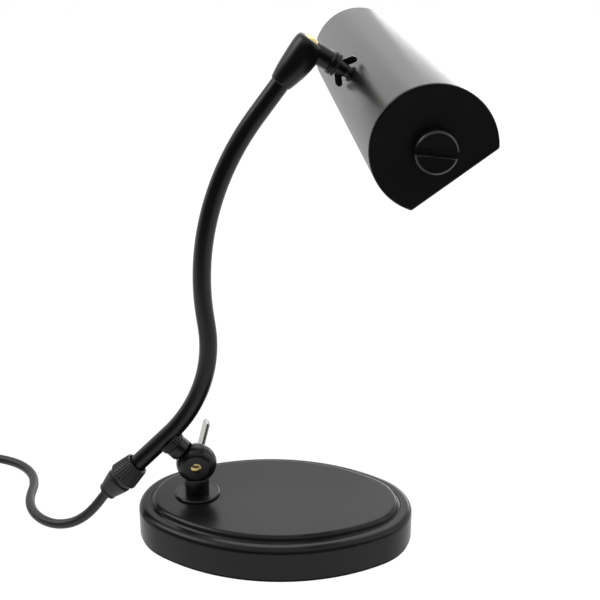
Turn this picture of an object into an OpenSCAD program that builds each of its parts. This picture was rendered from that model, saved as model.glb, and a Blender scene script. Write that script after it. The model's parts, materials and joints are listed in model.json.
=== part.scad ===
// Piano lamp: a weighted oval base, a tilting swan-neck arm and a long D-section shade that turns on the arm.
// Millimetres, +Z up. The origin is the centre of the base's underside. +X runs along the base towards the
// shade and +Y away from the front. The arm's own plane stands on the post, turned about the vertical.
// In that plane every place is [s, z]: s outwards from the post, z above the table.

/* [Base] */
// Length of the oval base
base_l = 199.2; // [180:0.2:230]
// Depth of the oval base
base_d = 131.2; // [120:0.2:145]
// Height of the base's flat top
base_h = 29.7; // [28:0.1:36]
// How far the rim ledge lies below the top
ledge_drop = 3.9; // [3:0.1:5]
// Radius of the large round between the wall and the ledge
wall_round = 5; // [3.5:0.1:6]
// Distance from the outer wall to the riser of the top
riser_inset = 9.9; // [9:0.1:14]
// Radius of the groove at the riser's foot
groove_r = 0.7; // [0.4:0.1:1]
// Sheet thickness of the base's shell
shell_t = 1.8; // [1.2:0.1:2.4]
// Thickness of the felt pad
pad_t = 2; // [1.5:0.1:3]
// How far the pad is set in from the wall
pad_inset = 0.7; // [0.3:0.1:3]
// Height of the weight's underside above the table
weight_z = 7.5; // [5:0.5:12]

/* [Post] */
// Distance of the post from the base's centre, towards the left end
post_offset = 56.9; // [45:0.1:62]
// Diameter of the flange at the foot of the post
flange_d = 33; // [26:0.5:40]
// Thickness of the flange
flange_t = 2; // [1.5:0.1:3]
// Diameter of the post
post_d = 17.5; // [16:0.1:20]
// Diameter of the threaded nipple that holds the post on the base
nipple_d = 9.7; // [8:0.1:11]
// How far the nipple screws into the post
nipple_grip = 6; // [4:0.5:7]

/* [Hinge] */
// Height of the hinge axis above the base's top
hinge_rise = 24.8; // [24.5:0.1:30]
// Diameter of the two knuckle halves
knuckle_d = 29.3; // [27:0.1:31]
// Thickness of the closed knuckle
knuckle_w = 17.4; // [15:0.1:20]
// Diameter of the flat on each side of the knuckle
knuckle_flat_d = 18.7; // [16:0.1:21]
// Thickness of the friction washer between the halves
friction_t = 0.4; // [0.2:0.1:0.8]
// Diameter of the hinge bolt
bolt_d = 6; // [5:0.5:8]
// Diameter of the bolt's domed head
bolt_head_d = 7.5; // [7:0.1:11]
// Height of the bolt's domed head
bolt_head_h = 1.6; // [1:0.1:2.2]
// Thickness of the washer under the hinge's wing nut
hinge_washer_t = 1.4; // [1:0.1:2.5]
// Radius that the hinge's wings reach
hinge_wing_r = 23.8; // [20:0.1:24]
// Height of the hinge's wing nut
hinge_wing_h = 17; // [15:0.5:20]

/* [Arm] */
// Angle of the arm's plane about the vertical
arm_turn = 8; // [0:1:20]
// Direction of the knuckle's boss, in the arm's plane
boss_dir = 134; // [126:1:140]
// Distance from the hinge to the tube's centre line, along the boss
boss_reach = 30.4; // [28:0.1:34]
// Diameter of the boss
boss_d = 17; // [15:0.1:18]
// Diameter of the knurled collar between the boss and the tube
collar_d = 18.6; // [17:0.1:20]
// Height of the collar's visible wall
collar_h = 3.6; // [3:0.1:8]
// Diameter of the tube
tube_d = 12.7; // [12:0.1:14]
// Wall of the tube
tube_t = 1.2; // [1:0.1:1.6]
// Straight run from the collar down to where the tail nut begins
tail_run = 29.7; // [27:0.1:34]
// Straight run from the collar up to the first bend
first_run = 3.4; // [1:0.1:8]
// Radius of the first bend
bend_a_r = 97.8; // [90:0.1:105]
// Angle of the first bend, to the left
bend_a = 52.8; // [48:0.1:56]
// Straight run between the bends
mid_run = 8.6; // [4:0.1:20]
// Radius of the second bend
bend_b_r = 191.9; // [180:0.1:200]
// Angle of the second bend, to the right
bend_b = 43.7; // [36:0.1:46]
// Straight run from the second bend to the elbow
top_run = 26.6; // [20:0.1:40]

/* [Tail nut and strain relief] */
// Length of the knurled tail nut
nut_l = 15.4; // [13:0.1:18]
// Diameter of the tail nut at the tube
nut_d = 18; // [17:0.1:20]
// Diameter that the tail nut flares to
nut_flare_d = 22.6; // [21:0.1:24]
// Number of ribs of each knurl
knurl_n = 30; // [24:1:36]
// Depth of the knurls
knurl_depth = 0.5; // [0.3:0.1:0.8]
// Length of the strain relief outside the nut
relief_l = 17.3; // [16:0.1:24]
// Diameter of the strain relief's bell
relief_d = 20; // [18:0.1:21]
// Diameter of the strain relief's small end
relief_end_d = 13.5; // [12:0.1:15]
// Diameter of the cord
cord_d = 7; // [6:0.1:7.2]

/* [Elbow and neck] */
// Length of the turned elbow
elbow_l = 34; // [32:0.1:38]
// Largest diameter of the elbow
elbow_d = 21.2; // [20:0.1:24]
// Diameter of the elbow at the tube
elbow_foot_d = 14.2; // [14:0.1:15.2]
// Diameter of the elbow's end face
elbow_end_d = 13.4; // [12:0.1:15]
// Diameter of the domed plug in the elbow's end
plug_d = 11.4; // [9:0.1:11.8]
// Height of the plug's dome
plug_h = 2; // [1.2:0.1:2.6]
// Distance from the elbow's foot to the neck's centre line
neck_at = 28.4; // [26:0.1:28.8]
// Direction of the neck, in the arm's plane
neck_dir = -31.3; // [-36:0.1:-28]
// Diameter of the neck
neck_d = 11.2; // [10.6:0.1:12]
// Distance from the elbow's centre line to the neck's ring
ring_at = 17.4; // [16:0.1:20]
// Diameter of the neck's ring
ring_d = 15.8; // [14:0.1:18]
// Thickness of the neck's ring
ring_t = 3.2; // [2:0.1:4]
// Thickness of each washer on the ring
washer_t = 1.1; // [0.8:0.1:1.6]
// Radius that the shade's wings reach
shade_wing_r = 10.7; // [10:0.1:12]
// Height of the shade's wing nut
shade_wing_h = 8.6; // [7.5:0.1:9]
// Diameter of the shade's nipple
stem_d = 8; // [7:0.1:8.4]

/* [Shade] */
// Outer diameter of the shade
shade_d = 72; // [68:0.5:78]
// Length of the shade
shade_l = 348.5; // [320:0.5:380]
// Distance from the neck to the shade's near end
shade_near = 134.8; // [120:0.1:160]
// Wall of the shade
shade_t = 1; // [0.8:0.1:1.4]
// Distance from the wing nut's crown plate to the neck's last washer
crown_gap = 10.3; // [9.6:0.1:12]
// Direction in which the shade opens, in the arm's plane
open_dir = -54; // [-75:1:-45]
// Distance from the shade's axis to the plane of the opening
open_at = 21; // [18:0.1:24]
// Width of the hem along each edge of the opening
hem_w = 4; // [2:0.5:6]
// Thickness of the end plates
plate_t = 1.6; // [1.2:0.1:2]
// Depth of the flange that centres each end plate
plate_flange = 6; // [4:0.5:9]

/* [Switch and lampholder] */
// Diameter of the switch knob
knob_d = 24.5; // [22:0.1:27]
// Height of the switch knob
knob_h = 8; // [7:0.1:11]
// Width of the slot across the knob
slot_w = 3.7; // [2.5:0.1:4.5]
// Depth of the slot across the knob
slot_depth = 2; // [1:0.1:2.6]
// Tilt of the slot
slot_turn = -5; // [-30:1:30]
// Diameter of the switch's housing
switch_d = 23; // [20:0.5:26]
// Length of the switch's housing
switch_l = 15; // [12:0.5:18]
// Diameter of the lampholder
holder_d = 33; // [31:0.5:36]
// Length of the lampholder
holder_l = 42; // [38:0.5:50]
// Diameter of the tubular bulb
bulb_d = 30; // [28:0.5:31]
// Length of the bulb's glass
bulb_l = 240; // [200:1:250]

/* [Cord] */
// Turns of the put-away coil
coil_turns = 6.25; // [5.25:1:7.25]
// Inner radius of the coil, at the cord's centre
coil_in_r = 28; // [28:0.5:34]
// Distance between neighbouring turns
coil_pitch = 7.5; // [7.5:0.1:8.5]
// Length of the plug's housing
plug_body_l = 30; // [26:1:36]
// Length of the plug's own strain relief
plug_relief_l = 28; // [26:1:34]
// Length of the plug's blades
blade_l = 17; // [15:0.5:18]

/* [Hidden] */

$fn = 96;
fit = 0.1;         // radial clearance of pieces that are fixed in each other
run = 0.05;        // radial running clearance of pieces that turn in each other
part_gap = 0.3;    // gap between bodies that move past each other
hair = 0.02;       // the least step between surfaces that would only just touch
run_lap = 0.3;     // how far a straight run of the tube laps over a bend
over = 1;          // how far a cutting tool runs past what it cuts
arc_fn = 10;       // straight pieces in each quarter of a drawn curve
black = [0.06, 0.06, 0.06];
satin = [0.1, 0.1, 0.1];
brass = [0.78, 0.6, 0.3];
steel = [0.62, 0.62, 0.6];
rubber = [0.04, 0.04, 0.04];

// The base's outline: two end arcs and two side arcs that meet without a corner, drawn on 3-4-5 triangles.
half_l = base_l / 2;
half_d = base_d / 2;
end_c = 1.5 * (half_l - half_d);
base_end_r = half_l - end_c;
side_c = end_c * 4 / 3;
side_r = side_c + half_d;
join_a = atan2(4, 3);
join_lap = 1;      // degrees that each quarter runs past the oval's two centre lines
core_margin = 10;  // from the sweep's inner edge to the corners of the middle that fills it
sweep_reach = base_end_r - core_margin;
core_r = sweep_reach - core_margin;
ledge_z = base_h - ledge_drop;
groove_gap = 0.2;  // flat between the groove and the riser
weight_gap = 0.6;  // air between the weight and the shell's wall

// The base's fastenings, from the table up.
recess_d = 27;
recess_h = 9;
foot_washer_d = 22;
foot_washer_t = 1.6;
foot_nut_d = 17;
foot_nut_h = 6;
foot_thread = 1.5; // thread that shows past the nut
post = [-post_offset, 0];
flange_z = base_h;
post_z = flange_z + flange_t;
foot_seat = weight_z + recess_h;
nipple_low = foot_seat - foot_washer_t - foot_nut_h - foot_thread;
nipple_top = post_z + nipple_grip;
cavity_z = base_h - shell_t;

// The hinge. Its axis runs across the arm's plane.
hinge = [0, base_h + hinge_rise];
knuckle_r = knuckle_d / 2;
half_w = knuckle_w / 2;
flat_r = knuckle_flat_d / 2;
cheek_r = (pow(knuckle_r - flat_r, 2) + half_w * half_w) / (2 * (knuckle_r - flat_r));
cheek_c = knuckle_r - cheek_r;
friction_r = 11;
hinge_washer_r = 10.5;
hinge_hub_r = 7.5;
hinge_wing_turn = 75;
wing_t = 3.6;
bolt_tail = 3;     // bolt that shows past the wing nut's hub
hinge_hub_h = 10;
wing_w = half_w + hinge_washer_t;

// The tube's centre line, as runs and bends in the arm's plane.
function dir(a) = [cos(a), sin(a)];
function arc_end(p, a, r, t) = t > 0
    ? p + r * [sin(a + t) - sin(a), cos(a) - cos(a + t)]
    : p + r * [sin(a) - sin(a + t), cos(a + t) - cos(a)];
tube_r = tube_d / 2;
foot_a = boss_dir - 90;
foot = hinge + boss_reach * dir(boss_dir);
tail_grip = 8;     // how far the tail nut and the elbow take the tube in
tail_end = foot - tail_run * dir(foot_a);
bend_a_p = foot + first_run * dir(foot_a);
mid_a = foot_a + bend_a;
mid_p = arc_end(bend_a_p, foot_a, bend_a_r, bend_a);
bend_b_p = mid_p + mid_run * dir(mid_a);
elbow_a = mid_a - bend_b;
top_p = arc_end(bend_b_p, mid_a, bend_b_r, -bend_b);
elbow_p = top_p + top_run * dir(elbow_a);
collar_saddle = 4; // how far the collar reaches up beside the tube
collar_top = boss_reach - tube_r + collar_saddle;
collar_low = boss_reach - tube_r - collar_h;
stud_r = 4;
stud_floor = 0.5;  // metal left under the stud in the boss
stud_low = knuckle_r + part_gap + stud_floor;

// The tail nut and the strain relief run down from the tube's end.
tail_a = foot_a + 180;
bell_at = nut_l + 3.1;
relief_grip = 5;   // how far the relief sits in the nut
relief_socket = 6; // how far the cord sits in the relief
relief_neck_r = 8.2;
relief_end = nut_l + relief_l;
cord_r = cord_d / 2;
cord_bore_r = cord_r + 0.3;
cord_exit = tail_end + relief_end * dir(tail_a);
cord_start = tail_end + (relief_end - relief_socket) * dir(tail_a);

// The elbow's outline: [radius, height] corners of its curves.
elbow_waist = 0.72 * elbow_l;
neck_r = neck_d / 2;
neck_p = elbow_p + neck_at * dir(elbow_a);
neck_foot = 5;
washer_at = ring_at + ring_t;
wing_at = washer_at + 2 * washer_t + hair;
plug_stem_r = 3;
plug_stem_l = 3.6;
shade_hub_r = 5.6;
shade_hub_h = 6.4;
stem_r = stem_d / 2;
stem_bore_r = stem_r - 1.4;
stem_foot = ring_at - 8;

// The shade. Its axis runs across the arm's plane, beside the neck.
shade_r = shade_d / 2;
crown_at = wing_at + crown_gap;
axis_at = crown_at + shade_r;
shade_c = neck_p + axis_at * dir(neck_dir);
open_half = acos(open_at / shade_r);
open_x = shade_r * sin(open_half);
crown_nut_r = 5.4;
crown_nut_h = 1.2;
inner_washer_r = 8;
inner_washer_t = 1;
inner_nut_d = 14;
inner_nut_h = 3.2;
inner_r = shade_r - shade_t;
inner_washer_at = axis_at - sqrt(inner_r * inner_r - inner_washer_r * inner_washer_r);
stem_end = inner_washer_at + inner_washer_t + inner_nut_h + 1.5;

// The switch, lampholder and bulb lie on the shade's axis. Distances run inwards from the near end.
knob_gap = 0.6;
switch_nut_d = 13;
switch_nut_h = 2;
bush_r = 4.8;
shaft_r = 3;
shaft_grip = 2.6;  // how far the shaft goes into the knob, past its recess
knob_recess_r = 8.2;
bracket_at = plate_t + switch_l + 6;
bracket_t = 1.4;
bracket_w = 14;
bracket_stop = plate_t + plate_flange + 1;
holder_at = bracket_at + bracket_t;
holder_bore_r = 13.9;
holder_bore_l = 27;
cap_r = 13.2;
cap_l = 25;
glass_at = holder_at + holder_l + 1;
neck_glass_l = 12;
rib_n = 4;         // grip rings round the lampholder
rib_t = 1.6;

// The cord's route from the relief to the coil, as [s, across, z]. Past the break it lies still on the table.
lead_route = [
    [-74.5, 0, 22], [-83, 0.5, 13.5], [-93, 2, 7.5], [-104.5, 6, 4.3], [-115, 13, 3.6], [-123, 23, 3.6],
    [-128, 35, 3.6], [-130, 47, 3.6], [-130, 58, 3.6]
];
floor_route = [
    [-130, 58, 3.6], [-130, 66, 3.6], [-132.5, 79, 3.6], [-138.5, 91, 3.6], [-147.5, 101, 3.6],
    [-159, 108.5, 3.6], [-172, 113.5, 3.6], [-186, 116.5, 3.6], [-200, 117.5, 3.6]
];
coil_c = [-222, 66];
layer_h = 7.5;
coil_step = 15;    // degrees between the rings of a turn
coil_half = coil_turns * 180;
coil_low = 3.6;
coil_start = 90;
lead_sides = 10;
coil_sides = 6;
function coil_point(a) = [
    coil_c.x + (coil_in_r + coil_pitch * abs(a) / 360) * cos(coil_start + a + coil_half),
    coil_c.y + (coil_in_r + coil_pitch * abs(a) / 360) * sin(coil_start + a + coil_half),
    coil_low + layer_h * max(0, min(1, a / 180 + 0.5))
];
coil_in_dir = [-1, 0, 0];
coil_out_dir = [-sin(coil_start + 2 * coil_half), cos(coil_start + 2 * coil_half), 0];
coil_in = coil_point(-coil_half) - cord_d * coil_in_dir;
coil_out = coil_point(coil_half) + cord_d * coil_out_dir;
coil_turn_points = [for (a = [-coil_half:coil_step:coil_half]) coil_point(a)];
coil_path = concat([coil_in], coil_turn_points, [coil_out]);
cord_apart = 8;    // rings along the coil that count as neighbours
coil_gap = min([for (i = [0:len(coil_path) - 1], j = [i + cord_apart:len(coil_path) - 1])
    norm(coil_path[i] - coil_path[j])]) - cord_d;
echo(least_gap_of_the_coil_to_itself = coil_gap);

// The plug lies on the table beside the coil.
plug_r = coil_low + layer_h;
plug_half_w = 4;
plug_relief_r = 4.6;
blade_w = 6.3;
blade_t = 1.5;
blade_gap = 12.7;
plug_a = coil_start + 2 * coil_half + 90;

// ---------------------------------------------------------------- helpers

// Stands on the post with the arm's plane as its own.
module arm_frame() {
    translate([post.x, post.y, 0]) rotate([0, 0, arm_turn]) children();
}

// Puts a child's z axis at p along direction a of the arm's plane.
module along(p, a) {
    arm_frame() translate([p.x, 0, p.y]) rotate([0, 90 - a, 0]) children();
}

// Puts a child's z axis on the hinge's axis, away from the front.
module on_hinge() {
    arm_frame() translate([hinge.x, 0, hinge.y]) rotate([-90, 0, 0]) children();
}

// Puts a child's z axis on the shade's axis, from the near end inwards.
module on_shade(inwards = 0) {
    arm_frame() translate([shade_c.x, inwards - shade_near, shade_c.y]) rotate([-90, 0, 0]) children();
}

// Puts a child's z axis on the neck, at a distance from the elbow's centre line.
module on_neck(at) {
    along(neck_p + at * dir(neck_dir), neck_dir) children();
}

// A quarter of the oval, swept both ways from the line where its end arc meets its side arc. The profile's
// outer edge is x = 0 and it ends at x = -$reach.
module oval_quarter() {
    translate([end_c, 0, 0]) rotate([0, 0, join_a]) mirror([0, 1, 0])
        rotate_extrude(angle = join_a + join_lap) translate([base_end_r, 0]) children();
    translate([0, -side_c, 0]) rotate([0, 0, join_a])
        rotate_extrude(angle = 90 - join_a + join_lap) translate([side_r, 0]) children();
}

// Sweeps a profile round the whole oval and fills its middle from low to high.
module oval_sweep(low, high) {
    $reach = sweep_reach;
    tip = [end_c + core_r, 0];
    corner = [end_c, 0] + core_r * dir(join_a);
    side = [0, half_d - base_end_r + core_r];
    for (flip_x = [0, 1], flip_y = [0, 1])
        mirror([flip_x, 0, 0]) mirror([0, flip_y, 0]) oval_quarter() children();
    translate([0, 0, low]) linear_extrude(height = high - low)
        polygon([tip, corner, side, [-corner.x, corner.y], -tip, -corner, -side, [corner.x, -corner.y]]);
}

// A band of a profile from one height to another, its outer edge set in by inset.
module band(inset, low, high) {
    translate([-$reach, low]) square([$reach - inset, high - low]);
}

module ring(outer_r, inner_r, h) {
    difference() {
        cylinder(r = outer_r, h = h);
        translate([0, 0, -over]) cylinder(r = inner_r, h = h + 2 * over);
    }
}

module hex(across, h) {
    cylinder(r = across / sqrt(3), h = h, $fn = 6);
}

// A dome that stands r wide and h high on z = 0.
module dome(r, h) {
    ball = (r * r + h * h) / (2 * h);
    rotate_extrude() intersection() {
        translate([0, h - ball]) circle(r = ball);
        square([r, h]);
    }
}

// The star that straight knurls are cut to.
module knurl_star(r) {
    polygon([for (i = [0:2 * knurl_n - 1]) (i % 2 == 0 ? r : r - knurl_depth) * dir(180 * i / knurl_n)]);
}

// One half of the knuckle: a ball with a flat cheek, from the joint's plane outwards along z.
module knuckle_half() {
    inner = friction_t / 2;
    rotate_extrude() intersection() {
        union() {
            translate([0, inner]) square([cheek_c + over, half_w - inner]);
            translate([cheek_c, 0]) circle(r = cheek_r);
        }
        translate([0, inner]) square([knuckle_r + over, half_w - inner]);
    }
}

// A wing nut that bears on z = 0, its wings leaning outwards.
module wing_nut(bore_r, hub_r, hub_h, reach, h, t) {
    tip_r = 0.17 * reach;
    tip = [reach - tip_r, h - tip_r];
    difference() {
        union() {
            cylinder(r1 = hub_r, r2 = 0.84 * hub_r, h = hub_h);
            for (turn = [0, 180]) rotate([90, 0, turn]) linear_extrude(height = t, center = true) {
                polygon([
                    [0, 0.12 * hub_h], [0.9 * hub_r, 0.12 * hub_h], tip + 0.92 * tip_r * dir(-38),
                    tip + 0.92 * tip_r * dir(142), [0.8 * hub_r, 0.92 * hub_h], [0, 0.92 * hub_h]
                ]);
                translate(tip) circle(r = tip_r);
            }
        }
        translate([0, 0, -over]) cylinder(r = bore_r, h = hub_h + 2 * over);
    }
}

// The tube's runs and bends, drawn in the x-y plane from the origin along +x. A bend draws the tube out by a
// hair, so each straight run is that much thicker and laps over the bends beside it.
module pipe_run(r, l) {
    translate([-run_lap, 0, 0]) rotate([0, 90, 0]) cylinder(r = r + hair, h = l + 2 * run_lap);
}

module pipe_left(r, bend_r, t) {
    translate([0, bend_r, 0]) rotate([0, 0, -90])
        rotate_extrude(angle = t) translate([bend_r, 0]) circle(r = r);
}

module pipe_right(r, bend_r, t) {
    translate([0, -bend_r, 0]) rotate([0, 0, 90 - t])
        rotate_extrude(angle = t) translate([bend_r, 0]) circle(r = r);
}

// Sets a pipe piece that is drawn from the origin at p, heading along a, in the arm's plane.
module pipe_at(p, a) {
    arm_frame() rotate([90, 0, 0]) translate([p.x, p.y, 0]) rotate([0, 0, a]) children();
}

// Points of a Bezier curve.
function bezier(p, t) = pow(1 - t, 3) * p[0] + 3 * pow(1 - t, 2) * t * p[1] + 3 * (1 - t) * t * t * p[2]
    + pow(t, 3) * p[3];
function curve(p) = [for (i = [0:arc_fn]) bezier(p, i / arc_fn)];

// One closed tube of triangles along a path, cut square to the directions that it starts and ends in.
function unit(v) = v / norm(v);
function heading(path, i, first, last) = i == 0 ? first : i == len(path) - 1 ? last
    : unit(unit(path[i] - path[i - 1]) + unit(path[i + 1] - path[i]));
function ring_point(p, h, r, a) = let (side = unit(cross(h, [0, 0, 1])), up = cross(side, h))
    p + r * (cos(a) * side + sin(a) * up);
module cord_tube(path, first, last, sides) {
    n = len(path);
    rings = [for (i = [0:n - 1], k = [0:sides - 1])
        ring_point(path[i], heading(path, i, first, last), cord_r, 360 * (k + 0.5) / sides)];
    quads = [for (i = [0:n - 2], k = [0:sides - 1]) let (m = (k + 1) % sides)
        [i * sides + k, i * sides + m, (i + 1) * sides + m, (i + 1) * sides + k]];
    walls = [for (q = quads, f = [[q[0], q[1], q[2]], [q[0], q[2], q[3]]]) f];
    foot_cap = [for (k = [1:sides - 2]) [0, k + 1, k]];
    head_cap = [for (k = [1:sides - 2]) (n - 1) * sides * [1, 1, 1] + [0, k, k + 1]];
    polyhedron(points = rings, faces = concat(walls, foot_cap, head_cap));
}

// ---------------------------------------------------------------- base

module base_pad() {
    color(rubber) oval_sweep(0, pad_t) band(pad_inset, 0, pad_t);
}

module shell_outside() {
    band(0, pad_t, ledge_z - wall_round);
    band(wall_round, pad_t, ledge_z);
    translate([-wall_round, ledge_z - wall_round]) circle(r = wall_round);
    band(riser_inset, pad_t, base_h - ledge_drop);
    band(riser_inset + ledge_drop, pad_t, base_h);
    intersection() {
        translate([-riser_inset - ledge_drop, base_h - ledge_drop]) circle(r = ledge_drop);
        band(0, ledge_z - over, base_h);
    }
}

module shell_inside() {
    band(shell_t, pad_t - over, ledge_z - wall_round);
    band(wall_round, pad_t - over, ledge_z - shell_t);
    translate([-wall_round, ledge_z - wall_round]) circle(r = wall_round - shell_t);
    band(riser_inset + ledge_drop, pad_t - over, cavity_z);
}

module base_shell() {
    color(satin) difference() {
        oval_sweep(cavity_z, base_h) difference() {
            shell_outside();
            shell_inside();
            translate([groove_gap + groove_r - riser_inset, ledge_z]) circle(r = groove_r);
        }
        translate([post.x, post.y, 0]) cylinder(r = nipple_d / 2 + fit, h = base_h + over);
    }
}

module base_weight() {
    color(steel) difference() {
        oval_sweep(weight_z, cavity_z) {
            band(shell_t + weight_gap, weight_z, ledge_z - wall_round - fit);
            band(riser_inset + ledge_drop + weight_gap, weight_z, cavity_z);
        }
        translate([post.x, post.y, weight_z - over]) cylinder(r = recess_d / 2, h = recess_h + over);
        translate([post.x, post.y, 0]) cylinder(r = nipple_d / 2 + part_gap, h = base_h + over);
    }
}

module base_nipple() {
    color(steel) translate([post.x, post.y, nipple_low])
        cylinder(r = nipple_d / 2, h = nipple_top - nipple_low);
}

module base_washer() {
    color(steel) translate([post.x, post.y, foot_seat - foot_washer_t])
        ring(foot_washer_d / 2, nipple_d / 2 + fit, foot_washer_t);
}

module base_nut() {
    color(steel) translate([post.x, post.y, foot_seat - foot_washer_t - foot_nut_h]) difference() {
        hex(foot_nut_d, foot_nut_h);
        translate([0, 0, -over]) cylinder(r = nipple_d / 2 + fit, h = foot_nut_h + 2 * over);
    }
}

module base_flange() {
    edge = 0.5;
    color(black) translate([post.x, post.y, flange_z]) difference() {
        union() {
            cylinder(d = flange_d, h = flange_t - edge);
            translate([0, 0, flange_t - edge])
                cylinder(r1 = flange_d / 2, r2 = flange_d / 2 - edge, h = edge);
        }
        translate([0, 0, -over]) cylinder(r = nipple_d / 2 + fit, h = flange_t + 2 * over);
    }
}

// ---------------------------------------------------------------- hinge

module post_knuckle() {
    color(black) difference() {
        union() {
            translate([post.x, post.y, post_z]) cylinder(d = post_d, h = hinge.y - post_z);
            on_hinge() mirror([0, 0, 1]) knuckle_half();
        }
        on_hinge() translate([0, 0, -friction_t / 2]) cylinder(r = knuckle_r + part_gap, h = post_d);
        on_hinge() translate([0, 0, -half_w - over]) cylinder(r = bolt_d / 2 + fit, h = knuckle_w);
        translate([post.x, post.y, post_z - over])
            cylinder(r = nipple_d / 2 + fit, h = nipple_grip + over + fit);
    }
}

module friction_washer() {
    color(steel) on_hinge() translate([0, 0, -friction_t / 2]) ring(friction_r, bolt_d / 2 + fit, friction_t);
}

module hinge_bolt() {
    color(brass) on_hinge() {
        translate([0, 0, -half_w]) cylinder(d = bolt_d, h = half_w + wing_w + hinge_hub_h + bolt_tail);
        translate([0, 0, -half_w]) mirror([0, 0, 1]) dome(bolt_head_d / 2, bolt_head_h);
    }
}

module hinge_washer() {
    color(steel) on_hinge() translate([0, 0, half_w]) ring(hinge_washer_r, bolt_d / 2 + fit, hinge_washer_t);
}

module hinge_wing_nut() {
    color(black) on_hinge() translate([0, 0, wing_w]) rotate([0, 0, -hinge_wing_turn])
        wing_nut(bolt_d / 2 + run, hinge_hub_r, hinge_hub_h, hinge_wing_r, hinge_wing_h, wing_t);
}

// ---------------------------------------------------------------- arm

module arm_knuckle() {
    color(black) difference() {
        union() {
            on_hinge() knuckle_half();
            along(hinge, boss_dir) cylinder(d = boss_d, h = collar_low);
        }
        on_hinge() translate([0, 0, friction_t / 2 - post_d]) cylinder(r = knuckle_r + part_gap, h = post_d);
        on_hinge() translate([0, 0, -over]) cylinder(r = bolt_d / 2 + run, h = knuckle_w);
        along(hinge, boss_dir) translate([0, 0, stud_low - fit]) cylinder(r = stud_r + fit, h = boss_reach);
    }
}

module arm_stud() {
    color(steel) along(hinge, boss_dir) translate([0, 0, stud_low])
        cylinder(r = stud_r, h = boss_reach - tube_r + tube_t - stud_low);
}

module arm_collar() {
    color(black) difference() {
        along(hinge, boss_dir) translate([0, 0, collar_low]) difference() {
            linear_extrude(height = collar_top - collar_low) knurl_star(collar_d / 2);
            translate([0, 0, -over]) cylinder(r = stud_r + fit, h = collar_h + tube_r);
        }
        along(foot, foot_a) translate([0, 0, -collar_d]) cylinder(r = tube_r + fit, h = 2 * collar_d);
    }
}

// The whole bent tube as a solid of one radius, its ends lengthened by past.
module tube_form(r, past) {
    pipe_at(tail_end - (tail_grip + past - run_lap) * dir(foot_a), foot_a)
        pipe_run(r, tail_grip + tail_run + first_run + past - run_lap);
    pipe_at(bend_a_p, foot_a) pipe_left(r, bend_a_r, bend_a);
    pipe_at(mid_p, mid_a) pipe_run(r, mid_run);
    pipe_at(bend_b_p, mid_a) pipe_right(r, bend_b_r, bend_b);
    pipe_at(top_p, elbow_a) pipe_run(r, top_run + tail_grip + past - run_lap);
}

module arm_tube() {
    color(black) difference() {
        tube_form(tube_r, 0);
        tube_form(tube_r - tube_t, over);
        along(hinge, boss_dir) translate([0, 0, collar_low])
            cylinder(r = stud_r + fit, h = boss_reach - collar_low);
    }
}

module tail_nut() {
    lip = 1.2;
    recess = 1.6;
    rib_h = nut_l - lip - lip / 2;
    rim_lap = 4 * hair;
    color(black) along(tail_end, tail_a) difference() {
        union() {
            cylinder(d = nut_d - knurl_depth, h = lip);
            translate([0, 0, lip / 2])
                linear_extrude(height = rib_h, scale = nut_flare_d / nut_d) knurl_star(nut_d / 2);
            translate([0, 0, nut_l - lip - hair])
                cylinder(d1 = nut_flare_d + rim_lap, d2 = nut_flare_d - lip, h = lip + hair);
        }
        translate([0, 0, -over]) cylinder(r = tube_r + fit, h = tail_grip + fit + over);
        translate([0, 0, -over]) cylinder(r = tube_r + lip, h = recess + over);
        translate([0, 0, -over]) cylinder(r = cord_bore_r, h = nut_l + 2 * over);
        translate([0, 0, nut_l - relief_grip]) cylinder(r = relief_neck_r + fit, h = relief_grip + over);
    }
}

module strain_relief() {
    edge = 1.2;
    color(rubber) along(tail_end, tail_a) difference() {
        union() {
            translate([0, 0, nut_l - relief_grip]) cylinder(r = relief_neck_r, h = relief_grip + edge);
            rotate_extrude() polygon([
                [0, nut_l], [relief_neck_r + edge, nut_l], [relief_neck_r + edge, bell_at - edge / 2],
                [relief_d / 2, bell_at], [relief_d / 2 - edge / 2, bell_at + 2 * edge],
                [relief_end_d / 2, relief_end - edge], [relief_end_d / 2 - edge / 2, relief_end],
                [0, relief_end]
            ]);
        }
        translate([0, 0, relief_end - relief_socket]) cylinder(r = cord_bore_r, h = relief_socket + over);
    }
}

// ---------------------------------------------------------------- elbow and neck

module elbow() {
    foot_r = elbow_foot_d / 2;
    wide_r = elbow_d / 2;
    end_r = elbow_end_d / 2;
    low = curve([[foot_r, 0], [foot_r + 1.4, 0.15 * elbow_l], [0.97 * wide_r, 0.38 * elbow_l],
        [wide_r, elbow_waist]]);
    high = curve([[wide_r, elbow_waist], [wide_r, 0.9 * elbow_l], [0.92 * wide_r, elbow_l],
        [end_r, elbow_l]]);
    color(black) difference() {
        along(elbow_p, elbow_a) difference() {
            rotate_extrude() polygon(concat([[0, 0]], low, [for (i = [1:arc_fn]) high[i]], [[0, elbow_l]]));
            translate([0, 0, -over]) cylinder(r = tube_r + fit, h = tail_grip + over + fit);
            cylinder(r = tube_r - tube_t, h = neck_at);
            translate([0, 0, elbow_l - plug_stem_l - fit]) cylinder(r = plug_stem_r + fit, h = elbow_l);
        }
        on_neck(neck_foot - fit) cylinder(r = neck_r + fit, h = elbow_d);
    }
}

module elbow_plug() {
    color(brass) along(elbow_p, elbow_a) {
        translate([0, 0, elbow_l - plug_stem_l]) cylinder(r = plug_stem_r, h = plug_stem_l);
        translate([0, 0, elbow_l]) dome(plug_d / 2, plug_h);
    }
}

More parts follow.
